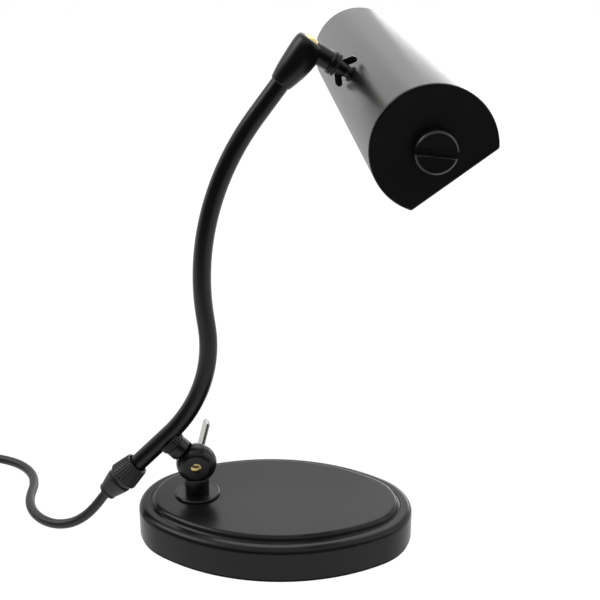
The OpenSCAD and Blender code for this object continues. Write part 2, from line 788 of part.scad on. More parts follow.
module shade_neck() {
    color(black) difference() {
        on_neck(0) difference() {
            union() {
                translate([0, 0, neck_foot]) cylinder(r = neck_r, h = ring_at - neck_foot);
                translate([0, 0, ring_at]) cylinder(d = ring_d, h = ring_t);
            }
            cylinder(r = stem_bore_r, h = washer_at + over);
            translate([0, 0, stem_foot - fit]) cylinder(r = stem_r + run, h = washer_at);
        }
        along(elbow_p, elbow_a) translate([0, 0, elbow_l - fit]) cylinder(r = plug_d / 2 + fit, h = plug_h);
    }
}

module neck_washer(at, d) {
    color(steel) on_neck(at) ring(d / 2, stem_r + run, washer_t);
}

module neck_washer_lower() {
    neck_washer(washer_at, ring_d - 1);
}

module neck_washer_upper() {
    neck_washer(washer_at + washer_t, ring_d);
}

module shade_wing_nut() {
    color(black) on_neck(wing_at)
        wing_nut(stem_r + run, shade_hub_r, shade_hub_h, shade_wing_r, shade_wing_h, wing_t);
}

// ---------------------------------------------------------------- shade

module shade_stem() {
    color(steel) on_neck(stem_foot) difference() {
        cylinder(r = stem_r, h = stem_end - stem_foot);
        translate([0, 0, -over]) cylinder(r = stem_bore_r, h = stem_end + 2 * over);
    }
}

module shade_crown_nut() {
    color(black) difference() {
        on_neck(crown_at - crown_nut_h) ring(crown_nut_r, stem_r + fit, crown_nut_h + 1);
        on_shade() cylinder(r = shade_r, h = shade_l);
    }
}

// The section of the shade: a round cut off by the plane of the opening, which is turned to face +x.
module shade_section(r, cut) {
    difference() {
        circle(r = r);
        translate([cut, -2 * r]) square(4 * r);
    }
}

module shade_shell() {
    color(satin) difference() {
        on_shade(plate_t) linear_extrude(height = shade_l - 2 * plate_t) rotate(-open_dir) union() {
            difference() {
                shade_section(shade_r, open_at);
                circle(r = inner_r);
            }
            for (side = [-1, 1]) intersection() {
                translate([open_at - shade_t, side * open_x - hem_w]) square([shade_t, 2 * hem_w]);
                circle(r = inner_r + shade_t / 2);
            }
        }
        on_neck(crown_at - over) cylinder(r = stem_r + fit, h = shade_r);
    }
}

module shade_inner_washer() {
    color(steel) on_neck(inner_washer_at) ring(inner_washer_r, stem_r + fit, inner_washer_t);
}

module shade_inner_nut() {
    color(steel) on_neck(inner_washer_at + inner_washer_t) difference() {
        hex(inner_nut_d, inner_nut_h);
        translate([0, 0, -over]) cylinder(r = stem_r + fit, h = inner_nut_h + 2 * over);
    }
}

// An end plate with a rounded rim and a flange that sits inside the shade, on z = 0 upwards.
module shade_plate() {
    bead = plate_t / 2 - hair;
    arc_r = shade_r - bead;
    half = acos(open_at / arc_r);
    seat_r = inner_r - fit;
    rotate([0, 0, -open_dir]) {
        rotate([0, 0, half]) rotate_extrude(angle = 360 - 2 * half) {
            square([arc_r, plate_t]);
            translate([arc_r, plate_t / 2]) circle(r = bead);
        }
        linear_extrude(height = plate_t) polygon([
            [-open_at / 4, 0], [open_at, -arc_r * sin(half) + hair], [open_at, arc_r * sin(half) - hair]
        ]);
        translate([0, 0, plate_t / 2]) linear_extrude(height = plate_flange + plate_t / 2) difference() {
            shade_section(seat_r, open_at - shade_t - fit);
            shade_section(seat_r - shade_t, open_at - 2 * shade_t - fit);
        }
    }
}

module shade_plate_near() {
    color(black) on_shade() difference() {
        shade_plate();
        translate([0, 0, -over]) cylinder(r = bush_r + fit, h = plate_t + 2 * over);
    }
}

module shade_plate_far() {
    color(black) on_shade(shade_l) mirror([0, 0, 1]) shade_plate();
}

// ---------------------------------------------------------------- switch, lampholder and bulb

module switch_housing() {
    color(black) on_shade() difference() {
        union() {
            translate([0, 0, plate_t]) cylinder(d = switch_d, h = switch_l);
            translate([0, 0, -switch_nut_h]) cylinder(r = bush_r, h = switch_nut_h + plate_t + over);
        }
        translate([0, 0, -switch_nut_h - over]) cylinder(r = shaft_r + run, h = switch_l);
    }
}

module switch_nut() {
    color(steel) on_shade(-switch_nut_h) difference() {
        hex(switch_nut_d, switch_nut_h);
        translate([0, 0, -over]) cylinder(r = bush_r + fit, h = switch_nut_h + 2 * over);
    }
}

module switch_shaft() {
    color(brass) on_shade(-switch_nut_h - part_gap - shaft_grip)
        cylinder(r = shaft_r, h = shaft_grip + part_gap + switch_nut_h + plate_t + switch_l / 2);
}

module switch_knob() {
    round_r = 1.6;
    recess = switch_nut_h + part_gap - knob_gap;
    color(black) on_shade(-knob_gap) mirror([0, 0, 1]) difference() {
        rotate_extrude() {
            square([knob_d / 2 - round_r, knob_h]);
            square([knob_d / 2, knob_h - round_r]);
            translate([knob_d / 2 - round_r, knob_h - round_r]) circle(r = round_r);
        }
        translate([0, 0, -over]) cylinder(r = knob_recess_r, h = recess + over);
        translate([0, 0, -over]) cylinder(r = shaft_r + fit, h = recess + shaft_grip + fit + over);
        rotate([0, 0, slot_turn]) translate([-knob_d, -slot_w / 2, knob_h - slot_depth])
            cube([2 * knob_d, slot_w, slot_depth + over]);
    }
}

module holder_bracket() {
    back_r = inner_r - part_gap;
    color(steel) on_shade() rotate([0, 0, -open_dir]) difference() {
        intersection() {
            union() {
                translate([0, 0, bracket_at]) cylinder(r = bracket_w, h = bracket_t);
                translate([-back_r, -bracket_w / 2, bracket_at]) cube([back_r, bracket_w, bracket_t]);
                translate([-back_r, -bracket_w / 2, bracket_stop])
                    cube([2 * bracket_t, bracket_w, bracket_at + bracket_t - bracket_stop]);
            }
            cylinder(r = back_r, h = shade_l);
        }
        translate([0, 0, bracket_at - over]) cylinder(r = bush_r, h = bracket_t + 2 * over);
    }
}

module lampholder() {
    color(black) on_shade(holder_at) difference() {
        union() {
            cylinder(d = holder_d - 2 * rib_t, h = holder_l);
            cylinder(d1 = holder_d - 3 * rib_t, d2 = holder_d, h = rib_t);
            for (i = [1:rib_n]) translate([0, 0, i * holder_l / (rib_n + 1)])
                cylinder(d = holder_d, h = 2 * rib_t);
            translate([0, 0, holder_l - 2 * rib_t]) cylinder(d = holder_d, h = 2 * rib_t);
        }
        translate([0, 0, holder_l - holder_bore_l]) cylinder(r = holder_bore_r, h = holder_bore_l + over);
    }
}

module bulb_cap() {
    color(brass) on_shade(glass_at - cap_l) cylinder(r = cap_r, h = cap_l);
}

module bulb_glass() {
    bulb_r = bulb_d / 2;
    color([0.95, 0.93, 0.85]) on_shade(glass_at) {
        cylinder(r1 = cap_r, r2 = bulb_r, h = neck_glass_l);
        translate([0, 0, neck_glass_l]) cylinder(r = bulb_r, h = bulb_l - neck_glass_l - bulb_r);
        translate([0, 0, bulb_l - bulb_r]) rotate_extrude() intersection() {
            circle(r = bulb_r);
            square(bulb_r);
        }
    }
}

// ---------------------------------------------------------------- cord

function in_plane(p) = [p.x, 0, p.y];
across = [0, 1, 0];

module cord_lead() {
    path = concat([in_plane(cord_start), in_plane(cord_exit)], lead_route);
    color(rubber) arm_frame() cord_tube(path, in_plane(dir(tail_a)), across, lead_sides);
}

module cord_floor() {
    color(rubber) arm_frame() cord_tube(concat(floor_route, [coil_in]), across, coil_in_dir, lead_sides);
}

module cord_coil() {
    color(rubber) arm_frame() cord_tube(coil_path, coil_in_dir, coil_out_dir, coil_sides);
}

module on_plug() {
    arm_frame() translate(coil_out) rotate([0, 0, plug_a]) rotate([0, 90, 0]) children();
}

module plug_body() {
    color(rubber) on_plug() {
        cylinder(r1 = plug_relief_r, r2 = 0.8 * plug_r, h = plug_relief_l);
        translate([0, 0, plug_relief_l]) linear_extrude(height = plug_body_l) {
            square([2 * plug_r, 2 * plug_half_w], center = true);
            for (side = [-1, 1]) translate([0, side * plug_half_w]) circle(r = plug_r);
        }
    }
}

module plug_blades() {
    color(brass) on_plug() translate([0, 0, plug_relief_l + plug_body_l])
        for (side = [-1, 1]) translate([-blade_w / 2, side * blade_gap / 2 - blade_t / 2, 0])
            cube([blade_w, blade_t, blade_l]);
}

base_pad();
base_shell();
base_weight();
base_nipple();
base_washer();
base_nut();
base_flange();
post_knuckle();
friction_washer();
hinge_bolt();
hinge_washer();
hinge_wing_nut();
arm_knuckle();
arm_stud();
arm_collar();
arm_tube();
tail_nut();
strain_relief();
elbow();
elbow_plug();
shade_neck();
neck_washer_lower();
neck_washer_upper();
shade_wing_nut();
shade_stem();
shade_crown_nut();
shade_shell();
shade_inner_washer();
shade_inner_nut();
shade_plate_near();
shade_plate_far();
switch_housing();
switch_nut();
switch_shaft();
switch_knob();
holder_bracket();
lampholder();
bulb_cap();
bulb_glass();
cord_lead();
cord_floor();
cord_coil();
plug_body();
plug_blades();
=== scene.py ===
"""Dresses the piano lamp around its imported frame: the cord, every visible piece, its finish and the studio.

Sizes are millimetres in each piece's own frame and become metres where a mesh is made. Places in the arm's
plane are (outwards from the post, height above the table), as the frame has them. The profile of a turned
piece is (radius, height on the axis), with the corner's rounding radius as a third number.
"""
from __future__ import annotations

import json
import logging
import math
from collections.abc import Sequence
from dataclasses import dataclass, field, replace
from enum import Enum

import bmesh
import bpy
from mathutils import Matrix, Vector

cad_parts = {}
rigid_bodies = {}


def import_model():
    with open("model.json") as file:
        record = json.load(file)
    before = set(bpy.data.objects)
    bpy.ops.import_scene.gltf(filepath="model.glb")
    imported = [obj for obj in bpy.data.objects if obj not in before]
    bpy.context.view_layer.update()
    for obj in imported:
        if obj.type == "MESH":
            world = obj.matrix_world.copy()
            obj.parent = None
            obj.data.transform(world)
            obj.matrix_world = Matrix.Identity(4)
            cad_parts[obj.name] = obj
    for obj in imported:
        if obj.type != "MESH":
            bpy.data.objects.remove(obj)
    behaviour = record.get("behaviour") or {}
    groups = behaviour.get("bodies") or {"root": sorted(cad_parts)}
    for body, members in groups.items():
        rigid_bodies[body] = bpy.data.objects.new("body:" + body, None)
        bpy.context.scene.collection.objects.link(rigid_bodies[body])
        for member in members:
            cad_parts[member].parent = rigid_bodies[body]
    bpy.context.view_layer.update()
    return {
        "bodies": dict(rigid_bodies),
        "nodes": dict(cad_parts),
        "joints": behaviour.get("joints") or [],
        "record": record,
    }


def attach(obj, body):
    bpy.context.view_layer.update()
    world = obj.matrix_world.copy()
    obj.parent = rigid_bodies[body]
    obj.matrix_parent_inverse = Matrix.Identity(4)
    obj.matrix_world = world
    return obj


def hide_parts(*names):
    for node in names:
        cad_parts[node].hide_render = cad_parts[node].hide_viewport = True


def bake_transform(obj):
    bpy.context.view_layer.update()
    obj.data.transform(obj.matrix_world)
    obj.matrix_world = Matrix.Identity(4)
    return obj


LOG = logging.getLogger("piano_lamp")
MM = 0.001
TINY = 1e-6
MERGE = 1e-7
INWARDS = Matrix.Diagonal((1, 1, -1, 1))  # turns a piece round, so that it grows against its own axis

# Points round a turned piece, by its size.
ROUND = 128
MEDIUM_ROUND = 96
SMALL_ROUND = 64
TINY_ROUND = 32

Flat = tuple[float, float]
Corner = tuple[float, float, float]
Spot = tuple[float, float, float]
Colour = tuple[float, float, float]
Socket = bpy.types.NodeSocket
Sockets = bpy.types.bpy_prop_collection


class Body(Enum):
    """The bodies that move against each other."""

    STAND = "stand"
    HINGE_WING = "hinge_wing"
    ARM = "arm"
    SHADE_WING = "shade_wing"
    SHADE = "shade"
    KNOB = "knob"


class Slot(Enum):
    """The record's material slots."""

    SATIN = "satin_black"
    METAL = "black_metal"
    SHADE = "shade_black"
    FELT = "felt"
    IRON = "cast_iron"
    STEEL = "steel"
    BRASS = "brass"
    PLASTIC = "black_plastic"
    PHENOLIC = "phenolic"
    BULB_METAL = "bulb_metal"
    BULB_GLASS = "bulb_glass"
    CORD = "cord_black"


# ---------------------------------------------------------------- node trees


class Wiring:
    """Adds nodes to a tree and joins them."""

    def __init__(self, tree: bpy.types.NodeTree) -> None:
        """Works on one tree."""
        self.tree = tree

    def feed(self, socket: Socket, value: object) -> None:
        """Feeds a socket from another one, or sets its plain value."""
        if isinstance(value, Socket):
            self.tree.links.new(value, socket)
        else:
            socket.default_value = value

    def add(self, kind: str, inputs: dict | None = None, **settings: object) -> bpy.types.Node:
        """Adds a node.

        Args:
            kind: The node's type name.
            inputs: Socket names or numbers, each with a value or the socket that feeds it.
            settings: The node's own properties.

        Returns:
            The new node.
        """
        node = self.tree.nodes.new(kind)
        for key, value in settings.items():
            setattr(node, key, value)
        for key, value in (inputs or {}).items():
            self.feed(node.inputs[key], value)
        return node

    def join(self, operation: str, *terms: object) -> Socket:
        """Joins values with a Math node and returns its result."""
        return self.add("ShaderNodeMath", dict(enumerate(terms)), operation=operation).outputs[0]

    def times(self, a: object, b: object) -> Socket:
        """Returns a times b."""
        return self.join("MULTIPLY", a, b)

    def plus(self, a: object, b: object) -> Socket:
        """Returns a plus b."""
        return self.join("ADD", a, b)

    def most(self, a: object, b: object) -> Socket:
        """Returns the greater of a and b."""
        return self.join("MAXIMUM", a, b)

    def place(self) -> Socket:
        """Returns the object's own coordinates."""
        return self.add("ShaderNodeTexCoord").outputs["Object"]

    def noise(self, scale: object, detail: float, vector: Socket | None = None) -> Socket:
        """Adds noise, on the object's own coordinates unless a vector is given, and returns its factor."""
        found = self.add("ShaderNodeTexNoise", {"Vector": vector or self.place(), "Scale": scale, "Detail": detail})
        return found.outputs[0]

    def streaks(self, scale: object, detail: float, strokes: Sequence[tuple[Spot, Spot]]) -> list[Socket]:
        """Adds noises that are drawn out into streaks.

        Args:
            scale: Their common scale.
            detail: Their common detail.
            strokes: Each one's turn, in radians, and stretch.

        Returns:
            Each one's factor.
        """
        place = self.place()
        found = []
        for turn, stretch in strokes:
            mapping = self.add("ShaderNodeMapping", {"Vector": place, "Rotation": turn, "Scale": stretch})
            found.append(self.noise(scale, detail, mapping.outputs[0]))
        return found

    def mix(self, amount: object, a: object, b: object) -> Socket:
        """Mixes two colours on the Mix node's colour sockets and returns the result."""
        factor, first, second, result = 0, 6, 7, 2
        return self.add("ShaderNodeMix", {factor: amount, first: a, second: b}, data_type="RGBA").outputs[result]

    def ramp(self, value: object, low: float, high: float) -> Socket:
        """Maps low to high onto nought to one, smoothly and clamped."""
        limits = {"Value": value, "From Min": low, "From Max": high}
        return self.add("ShaderNodeMapRange", limits, interpolation_type="SMOOTHSTEP").outputs[0]


class SharedTree:
    """A node tree with named sockets that is drawn on first use and shared from then on."""

    title = "shared_tree"
    kind = "ShaderNodeTree"
    takes: tuple[tuple, ...] = ()
    gives: tuple[tuple, ...] = ()

    def tree(self) -> bpy.types.NodeTree:
        """Returns the tree; each socket is a name, a type and, where it needs one, a default."""
        found = bpy.data.node_groups.get(self.title)
        if found:
            return found
        tree = bpy.data.node_groups.new(self.title, self.kind)
        for side, sockets in (("INPUT", self.takes), ("OUTPUT", self.gives)):
            for name, kind, *default in sockets:
                socket = tree.interface.new_socket(name, in_out=side, socket_type=kind)
                if default:
                    socket.default_value = default[0]
        wiring = Wiring(tree)
        outside = wiring.add("NodeGroupInput").outputs
        wiring.add("NodeGroupOutput", self.build(wiring, outside))
        return tree

    def build(self, wiring: Wiring, outside: Sockets) -> dict[str, Socket]:
        """Draws the tree's nodes and returns the socket for each output's name."""
        raise NotImplementedError


class Effect(SharedTree):
    """A shader node group that several materials share, placed in each with its own values."""

    def place(self, wiring: Wiring, **values: object) -> Sockets:
        """Places the group in a material.

        Args:
            wiring: The material's own wiring.
            values: The group's inputs, with underscores for spaces.

        Returns:
            The placed group's outputs.
        """
        node = wiring.add("ShaderNodeGroup", node_tree=self.tree())
        for key, value in values.items():
            wiring.feed(node.inputs[key.replace("_", " ").capitalize()], value)
        return node.outputs


class Grain(Effect):
    """Cloudy gloss and the fine skin of a sprayed, moulded or rolled surface."""

    title = "surface_grain"
    takes = (
        ("Scale", "NodeSocketFloat", 400.0),
        ("Middle", "NodeSocketFloat", 0.4),
        ("Spread", "NodeSocketFloat", 0.1),
    )
    gives = (("Roughness", "NodeSocketFloat"), ("Height", "NodeSocketFloat"))
    cloud_scale = 0.06
    cloud_gloss = 0.65
    skin_gloss = 0.35
    cloud_height = 0.3

    def build(self, wiring: Wiring, outside: Sockets) -> dict[str, Socket]:
        """Two sizes of noise: the coarse one clouds the gloss, both raise the skin."""
        clouds = wiring.noise(wiring.times(outside["Scale"], self.cloud_scale), detail=3.0)
        skin = wiring.noise(outside["Scale"], detail=6.0)
        both = wiring.plus(wiring.times(clouds, self.cloud_gloss), wiring.times(skin, self.skin_gloss))
        drift = wiring.times(wiring.join("SUBTRACT", both, 0.5), outside["Spread"])
        height = wiring.plus(skin, wiring.times(clouds, self.cloud_height))
        return {"Roughness": wiring.plus(outside["Middle"], drift), "Height": height}


class Dust(Effect):
    """A thin film of dust on what faces up, broken by noise."""

    title = "dust_film"
    takes = (
        ("Surface", "NodeSocketColor", (0.0, 0.0, 0.0, 1.0)),
        ("Film", "NodeSocketColor", (0.4, 0.39, 0.37, 1.0)),
        ("Amount", "NodeSocketFloat", 0.02),
    )
    gives = (("Color", "NodeSocketColor"), ("Mask", "NodeSocketFloat"))
    upward_from = 0.2
    drift_scale = 28.0
    drift_limits = (0.35, 0.75)
    drift_share = 0.35
    speck_scale = 900.0
    speck_limits = (0.66, 0.74)
    speck_share = 0.6

    def build(self, wiring: Wiring, outside: Sockets) -> dict[str, Socket]:
        """The upward share of the normal, times specks and drifts."""
        normal = wiring.add("ShaderNodeNewGeometry").outputs["Normal"]
        upward = wiring.add("ShaderNodeSeparateXYZ", {0: normal}).outputs["Z"]
        faces_up = wiring.ramp(upward, self.upward_from, 1.0)
        drifts = wiring.ramp(wiring.noise(self.drift_scale, detail=5.0), *self.drift_limits)
        specks = wiring.ramp(wiring.noise(self.speck_scale, detail=2.0), *self.speck_limits)
        patches = wiring.plus(wiring.times(drifts, self.drift_share), wiring.times(specks, self.speck_share))
        mask = wiring.times(wiring.times(faces_up, patches), outside["Amount"])
        return {"Color": wiring.mix(mask, outside["Surface"], outside["Film"]), "Mask": mask}


class Wear(Effect):
    """Hairline rubs in every direction, where cloths and fingers have polished the coat."""

    title = "hairline_wear"
    takes = (
        ("Surface", "NodeSocketColor", (0.0, 0.0, 0.0, 1.0)),
        ("Rubbed", "NodeSocketColor", (0.1, 0.1, 0.1, 1.0)),
        ("Amount", "NodeSocketFloat", 0.2),
        ("Scale", "NodeSocketFloat", 60.0),
    )
    gives = (("Color", "NodeSocketColor"),)
    strokes = (((0.5, 0.3, 0.5), (1.0, 14.0, 3.0)), ((-0.9, 0.3, -0.9), (12.0, 1.0, 5.0)))
    line_limits = (0.68, 0.74)
    patch_scale = 14.0
    patch_limits = (0.45, 0.7)

    def build(self, wiring: Wiring, outside: Sockets) -> dict[str, Socket]:
        """Two stretched noises, each cut down to thin lines and kept to patches."""
        found = wiring.streaks(outside["Scale"], 2.0, self.strokes)
        lines = [wiring.ramp(streaks, *self.line_limits) for streaks in found]
        patches = wiring.ramp(wiring.noise(self.patch_scale, detail=2.0), *self.patch_limits)
        mask = wiring.times(wiring.times(wiring.most(*lines), patches), outside["Amount"])
        return {"Color": wiring.mix(mask, outside["Surface"], outside["Rubbed"])}


class Mottle(Effect):
    """Slow drift between two tones."""

    title = "tone_mottle"
    takes = (
        ("Light", "NodeSocketColor", (0.1, 0.1, 0.1, 1.0)),
        ("Dark", "NodeSocketColor", (0.05, 0.05, 0.05, 1.0)),
        ("Scale", "NodeSocketFloat", 30.0),
    )
    gives = (("Color", "NodeSocketColor"),)
    limits = (0.3, 0.7)

    def build(self, wiring: Wiring, outside: Sockets) -> dict[str, Socket]:
        """One noise between the two tones."""
        drift = wiring.ramp(wiring.noise(outside["Scale"], detail=5.0), *self.limits)
        return {"Color": wiring.mix(drift, outside["Dark"], outside["Light"])}


# ---------------------------------------------------------------- finishes


def rgba(colour: Colour) -> tuple[float, float, float, float]:
    """Adds the alpha that colour sockets want."""
    return (*colour, 1.0)


@dataclass(frozen=True)
class Finish:
    """A finish and the procedural material that draws it; relief is in millimetres."""

    title: str
    slot: Slot
    light: Colour
    dark: Colour
    roughness: float
    spread: float
    grain: float
    relief: float
    metallic: float = 0.0
    specular: float = 0.5
    coat: float = 0.0
    coat_roughness: float = 0.2
    rubbed: Colour = (0.12, 0.12, 0.12)
    wear: float = 0.15
    dust: float = 0.03
    dust_dulls: float = 0.5
    mottle: float = 24.0
    bump: float = 0.25

    def material(self) -> bpy.types.Material:
        """Returns the finish's material, made on first use."""
        found = bpy.data.materials.get(self.title)
        if found:
            return found
        material = bpy.data.materials.new(self.title)
        material.use_nodes = True
        material.node_tree.nodes.clear()
        wiring = Wiring(material.node_tree)
        plain = {
            "Metallic": self.metallic,
            "Specular IOR Level": self.specular,
            "Coat Weight": self.coat,
            "Coat Roughness": self.coat_roughness,
        }
        shader = wiring.add("ShaderNodeBsdfPrincipled", plain)
        self.dress(wiring, shader)
        wiring.add("ShaderNodeOutputMaterial", {"Surface": shader.outputs[0]})
        return material

    def dress(self, wiring: Wiring, shader: bpy.types.Node) -> None:
        """Draws the colour, roughness and skin with the shared effects."""
        tone = Mottle().place(wiring, light=rgba(self.light), dark=rgba(self.dark), scale=self.mottle)
        worn = Wear().place(wiring, surface=tone["Color"], rubbed=rgba(self.rubbed), amount=self.wear)
        film = Dust().place(wiring, surface=worn["Color"], amount=self.dust)
        grain = Grain().place(wiring, scale=self.grain, middle=self.roughness, spread=self.spread)
        rough = wiring.plus(grain["Roughness"], wiring.times(film["Mask"], self.dust_dulls))
        self.connect(wiring, shader, film["Color"], rough, grain["Height"])

    def connect(self, wiring: Wiring, shader: bpy.types.Node, colour: Socket, rough: Socket, height: Socket) -> None:
        """Feeds the shader's colour, its roughness and, through a bump, its normal."""
        skin = {"Strength": self.bump, "Distance": self.relief * MM, "Height": height}
        normal = wiring.add("ShaderNodeBump", skin).outputs[0]
        for name, socket in (("Base Color", colour), ("Roughness", rough), ("Normal", normal)):
            wiring.feed(shader.inputs[name], socket)


@dataclass(frozen=True)
class Felt(Finish):
    """Pressed felt: matted fibres in two directions."""

    bump: float = 0.8
    sheen: float = 0.3
    fibre_limits: Flat = (0.4, 0.7)
    strokes: tuple[tuple[Spot, Spot], ...] = (((0.0, 0.0, 0.4), (1.0, 6.0, 1.0)), ((0.0, 0.0, -1.1), (6.0, 1.0, 1.0)))

    def dress(self, wiring: Wiring, shader: bpy.types.Node) -> None:
        """Crossed, stretched noises make the fibres' colour and height."""
        fibres = wiring.most(*wiring.streaks(self.grain, 3.0, self.strokes))
        tone = wiring.mix(wiring.ramp(fibres, *self.fibre_limits), rgba(self.dark), rgba(self.light))
        grain = Grain().place(wiring, scale=self.grain, middle=self.roughness, spread=self.spread)
        self.connect(wiring, shader, tone, grain["Roughness"], fibres)
        shader.inputs["Sheen Weight"].default_value = self.sheen


SATIN = Finish(
    "satin_black_coat", Slot.SATIN, light=(0.011, 0.011, 0.011), dark=(0.008, 0.0083, 0.008),
    roughness=0.25, spread=0.06, grain=900.0, relief=0.01, specular=0.25,
)
PARTS = Finish(
    "black_coated_metal", Slot.METAL, light=(0.007, 0.007, 0.0068), dark=(0.005, 0.005, 0.0048),
    roughness=0.29, spread=0.08, grain=700.0, relief=0.01, specular=0.36,
)
NUT_COAT = replace(PARTS, title="ribbed_nut_coat", light=(0.026, 0.026, 0.025), roughness=0.42, specular=0.5)
SHADE_COAT = Finish(
    "black_shade_coat", Slot.SHADE, light=(0.006, 0.006, 0.006), dark=(0.0045, 0.0047, 0.0045),
    roughness=0.31, spread=0.03, grain=1000.0, relief=0.0012, specular=0.6, dust=0.01,
)
SHADE_WHITE = Finish(
    "white_shade_lining", Slot.SHADE, light=(0.72, 0.71, 0.68), dark=(0.66, 0.65, 0.62),
    roughness=0.45, spread=0.1, grain=700.0, relief=0.02, rubbed=(0.5, 0.5, 0.48), wear=0.1, dust=0.04,
)
FELT = Felt(
    "pressed_felt", Slot.FELT, light=(0.03, 0.03, 0.029), dark=(0.012, 0.012, 0.012),
    roughness=0.92, spread=0.08, grain=900.0, relief=0.3, specular=0.1,
)
IRON = Finish(
    "cast_iron", Slot.IRON, light=(0.09, 0.088, 0.085), dark=(0.05, 0.05, 0.05),
    roughness=0.7, spread=0.25, grain=260.0, relief=0.2, metallic=0.6,
)
STEEL = Finish(
    "zinc_steel", Slot.STEEL, light=(0.56, 0.56, 0.54), dark=(0.44, 0.44, 0.43),
    roughness=0.32, spread=0.2, grain=600.0, relief=0.02, metallic=1.0, rubbed=(0.75, 0.75, 0.73), wear=0.5,
)
DARK_STEEL = Finish(
    "blackened_steel", Slot.STEEL, light=(0.05, 0.05, 0.048), dark=(0.03, 0.03, 0.029),
    roughness=0.38, spread=0.2, grain=600.0, relief=0.02, metallic=0.5, rubbed=(0.35, 0.35, 0.34), wear=0.5,
)
BRASS = Finish(
    "polished_brass", Slot.BRASS, light=(0.72, 0.6, 0.26), dark=(0.6, 0.48, 0.19),
    roughness=0.27, spread=0.1, grain=500.0, relief=0.01, metallic=1.0, rubbed=(0.9, 0.74, 0.42), wear=0.4,
)
PLATED = Finish(
    "black_nickel_plate", Slot.METAL, light=(0.62, 0.62, 0.6), dark=(0.5, 0.5, 0.49),
    roughness=0.2, spread=0.1, grain=600.0, relief=0.01, metallic=1.0, rubbed=(0.75, 0.75, 0.73), wear=0.3,
)
RELIEF_PLASTIC = Finish(
    "moulded_black_plastic", Slot.PLASTIC, light=(0.014, 0.014, 0.0135), dark=(0.01, 0.01, 0.0097),
    roughness=0.42, spread=0.12, grain=800.0, relief=0.04,
)
PHENOLIC = Finish(
    "black_phenolic", Slot.PHENOLIC, light=(0.006, 0.0058, 0.0055), dark=(0.0042, 0.004, 0.0038),
    roughness=0.3, spread=0.1, grain=600.0, relief=0.015,
)
CAP_METAL = Finish(
    "bulb_cap_metal", Slot.BULB_METAL, light=(0.62, 0.55, 0.4), dark=(0.5, 0.44, 0.31),
    roughness=0.34, spread=0.2, grain=500.0, relief=0.02, metallic=1.0, rubbed=(0.8, 0.74, 0.6), wear=0.4,
)
OPAL = Finish(
    "opal_glass", Slot.BULB_GLASS, light=(0.83, 0.82, 0.78), dark=(0.78, 0.77, 0.73),
    roughness=0.16, spread=0.05, grain=300.0, relief=0.01, coat=0.5, coat_roughness=0.05, wear=0.0, dust=0.05,
)
CORD_SKIN = Finish(
    "black_cord_skin", Slot.CORD, light=(0.015, 0.015, 0.0145), dark=(0.011, 0.011, 0.0105),
    roughness=0.42, spread=0.12, grain=900.0, relief=0.03,
)


# ---------------------------------------------------------------- outlines and places


def shift(x: float, y: float, z: float) -> Matrix:
    """The move by millimetres of a mesh in metres."""
    return Matrix.Translation((x * MM, y * MM, z * MM))


def spin(degrees: float, axis: str) -> Matrix:
    """The turn about an axis."""
    return Matrix.Rotation(math.radians(degrees), 4, axis)


def polar(radius: float, degrees: float) -> Flat:
    """The flat point at a radius and an angle."""
    return (radius * math.cos(math.radians(degrees)), radius * math.sin(math.radians(degrees)))


def arc(radius: float, start: float, end: float, pieces: int) -> list[Flat]:
    """Points of an arc about the origin, from one angle to another, with both its ends."""
    return [polar(radius, start + (end - start) * i / pieces) for i in range(pieces + 1)]


def raised(points: Sequence[Flat], height: float) -> list[Vector]:
    """Flat points at a height."""
    return [Vector((x, y, height)) for x, y in points]


def rounded(corners: Sequence[Corner], steps: int, loop: bool = False) -> list[Flat]:
    """Rounds the corners of an outline; no round takes up more than about half of a side.

    Args:
        corners: (x, y, rounding radius) of each corner, nought for a sharp one.
        steps: Straight pieces in each round.
        loop: Whether the last corner joins the first.

    Returns:
        The outline's points.
    """
    most = 0.48
    points: list[Flat] = []
    count = len(corners)
    for index, (x, y, radius) in enumerate(corners):
        at = Vector((x, y))
        if radius <= 0 or (not loop and index in (0, count - 1)):
            points.append((x, y))
            continue
        back = Vector(corners[index - 1][:2]) - at
        ahead = Vector(corners[(index + 1) % count][:2]) - at
        bend = math.pi - back.angle(ahead)
        reach = min(radius * math.tan(bend / 2), most * back.length, most * ahead.length)
        start, end = at + back.normalized() * reach, at + ahead.normalized() * reach
        for step in range(steps + 1):
            t = step / steps
            point = (1 - t) ** 2 * start + 2 * t * (1 - t) * at + t * t * end
            points.append((point.x, point.y))
    return points


def box(x: Flat, y: Flat, rounds: tuple[float, float, float, float], steps: int) -> list[Flat]:
    """A rectangle's outline.

    Args:
        x: Where its first and second side lie.
        y: Its lower and upper end.
        rounds: The rounding radius of each corner, from the first side's lower one and back to its upper one.
        steps: Straight pieces in each round.

    Returns:
        The outline's points.
    """
    corners = ((x[0], y[0]), (x[1], y[0]), (x[1], y[1]), (x[0], y[1]))
    return rounded([(*corner, radius) for corner, radius in zip(corners, rounds)], steps, True)


def smooth_path(points: Sequence[Vector], pieces: int) -> list[Vector]:
    """Draws a Catmull-Rom curve through points, with that many pieces between each two."""
    ends = [2 * points[0] - points[1], *points, 2 * points[-1] - points[-2]]
    path = []
    for a, b, c, d in zip(ends, ends[1:], ends[2:], ends[3:]):
        for step in range(pieces):
            t = step / pieces
            point = 2 * b + (c - a) * t
            point += (2 * a - 5 * b + 4 * c - d) * t * t
            point += (3 * b - a - 3 * c + d) * t ** 3
            path.append(0.5 * point)
    return [*path, points[-1].copy()]


# ---------------------------------------------------------------- forms and pieces


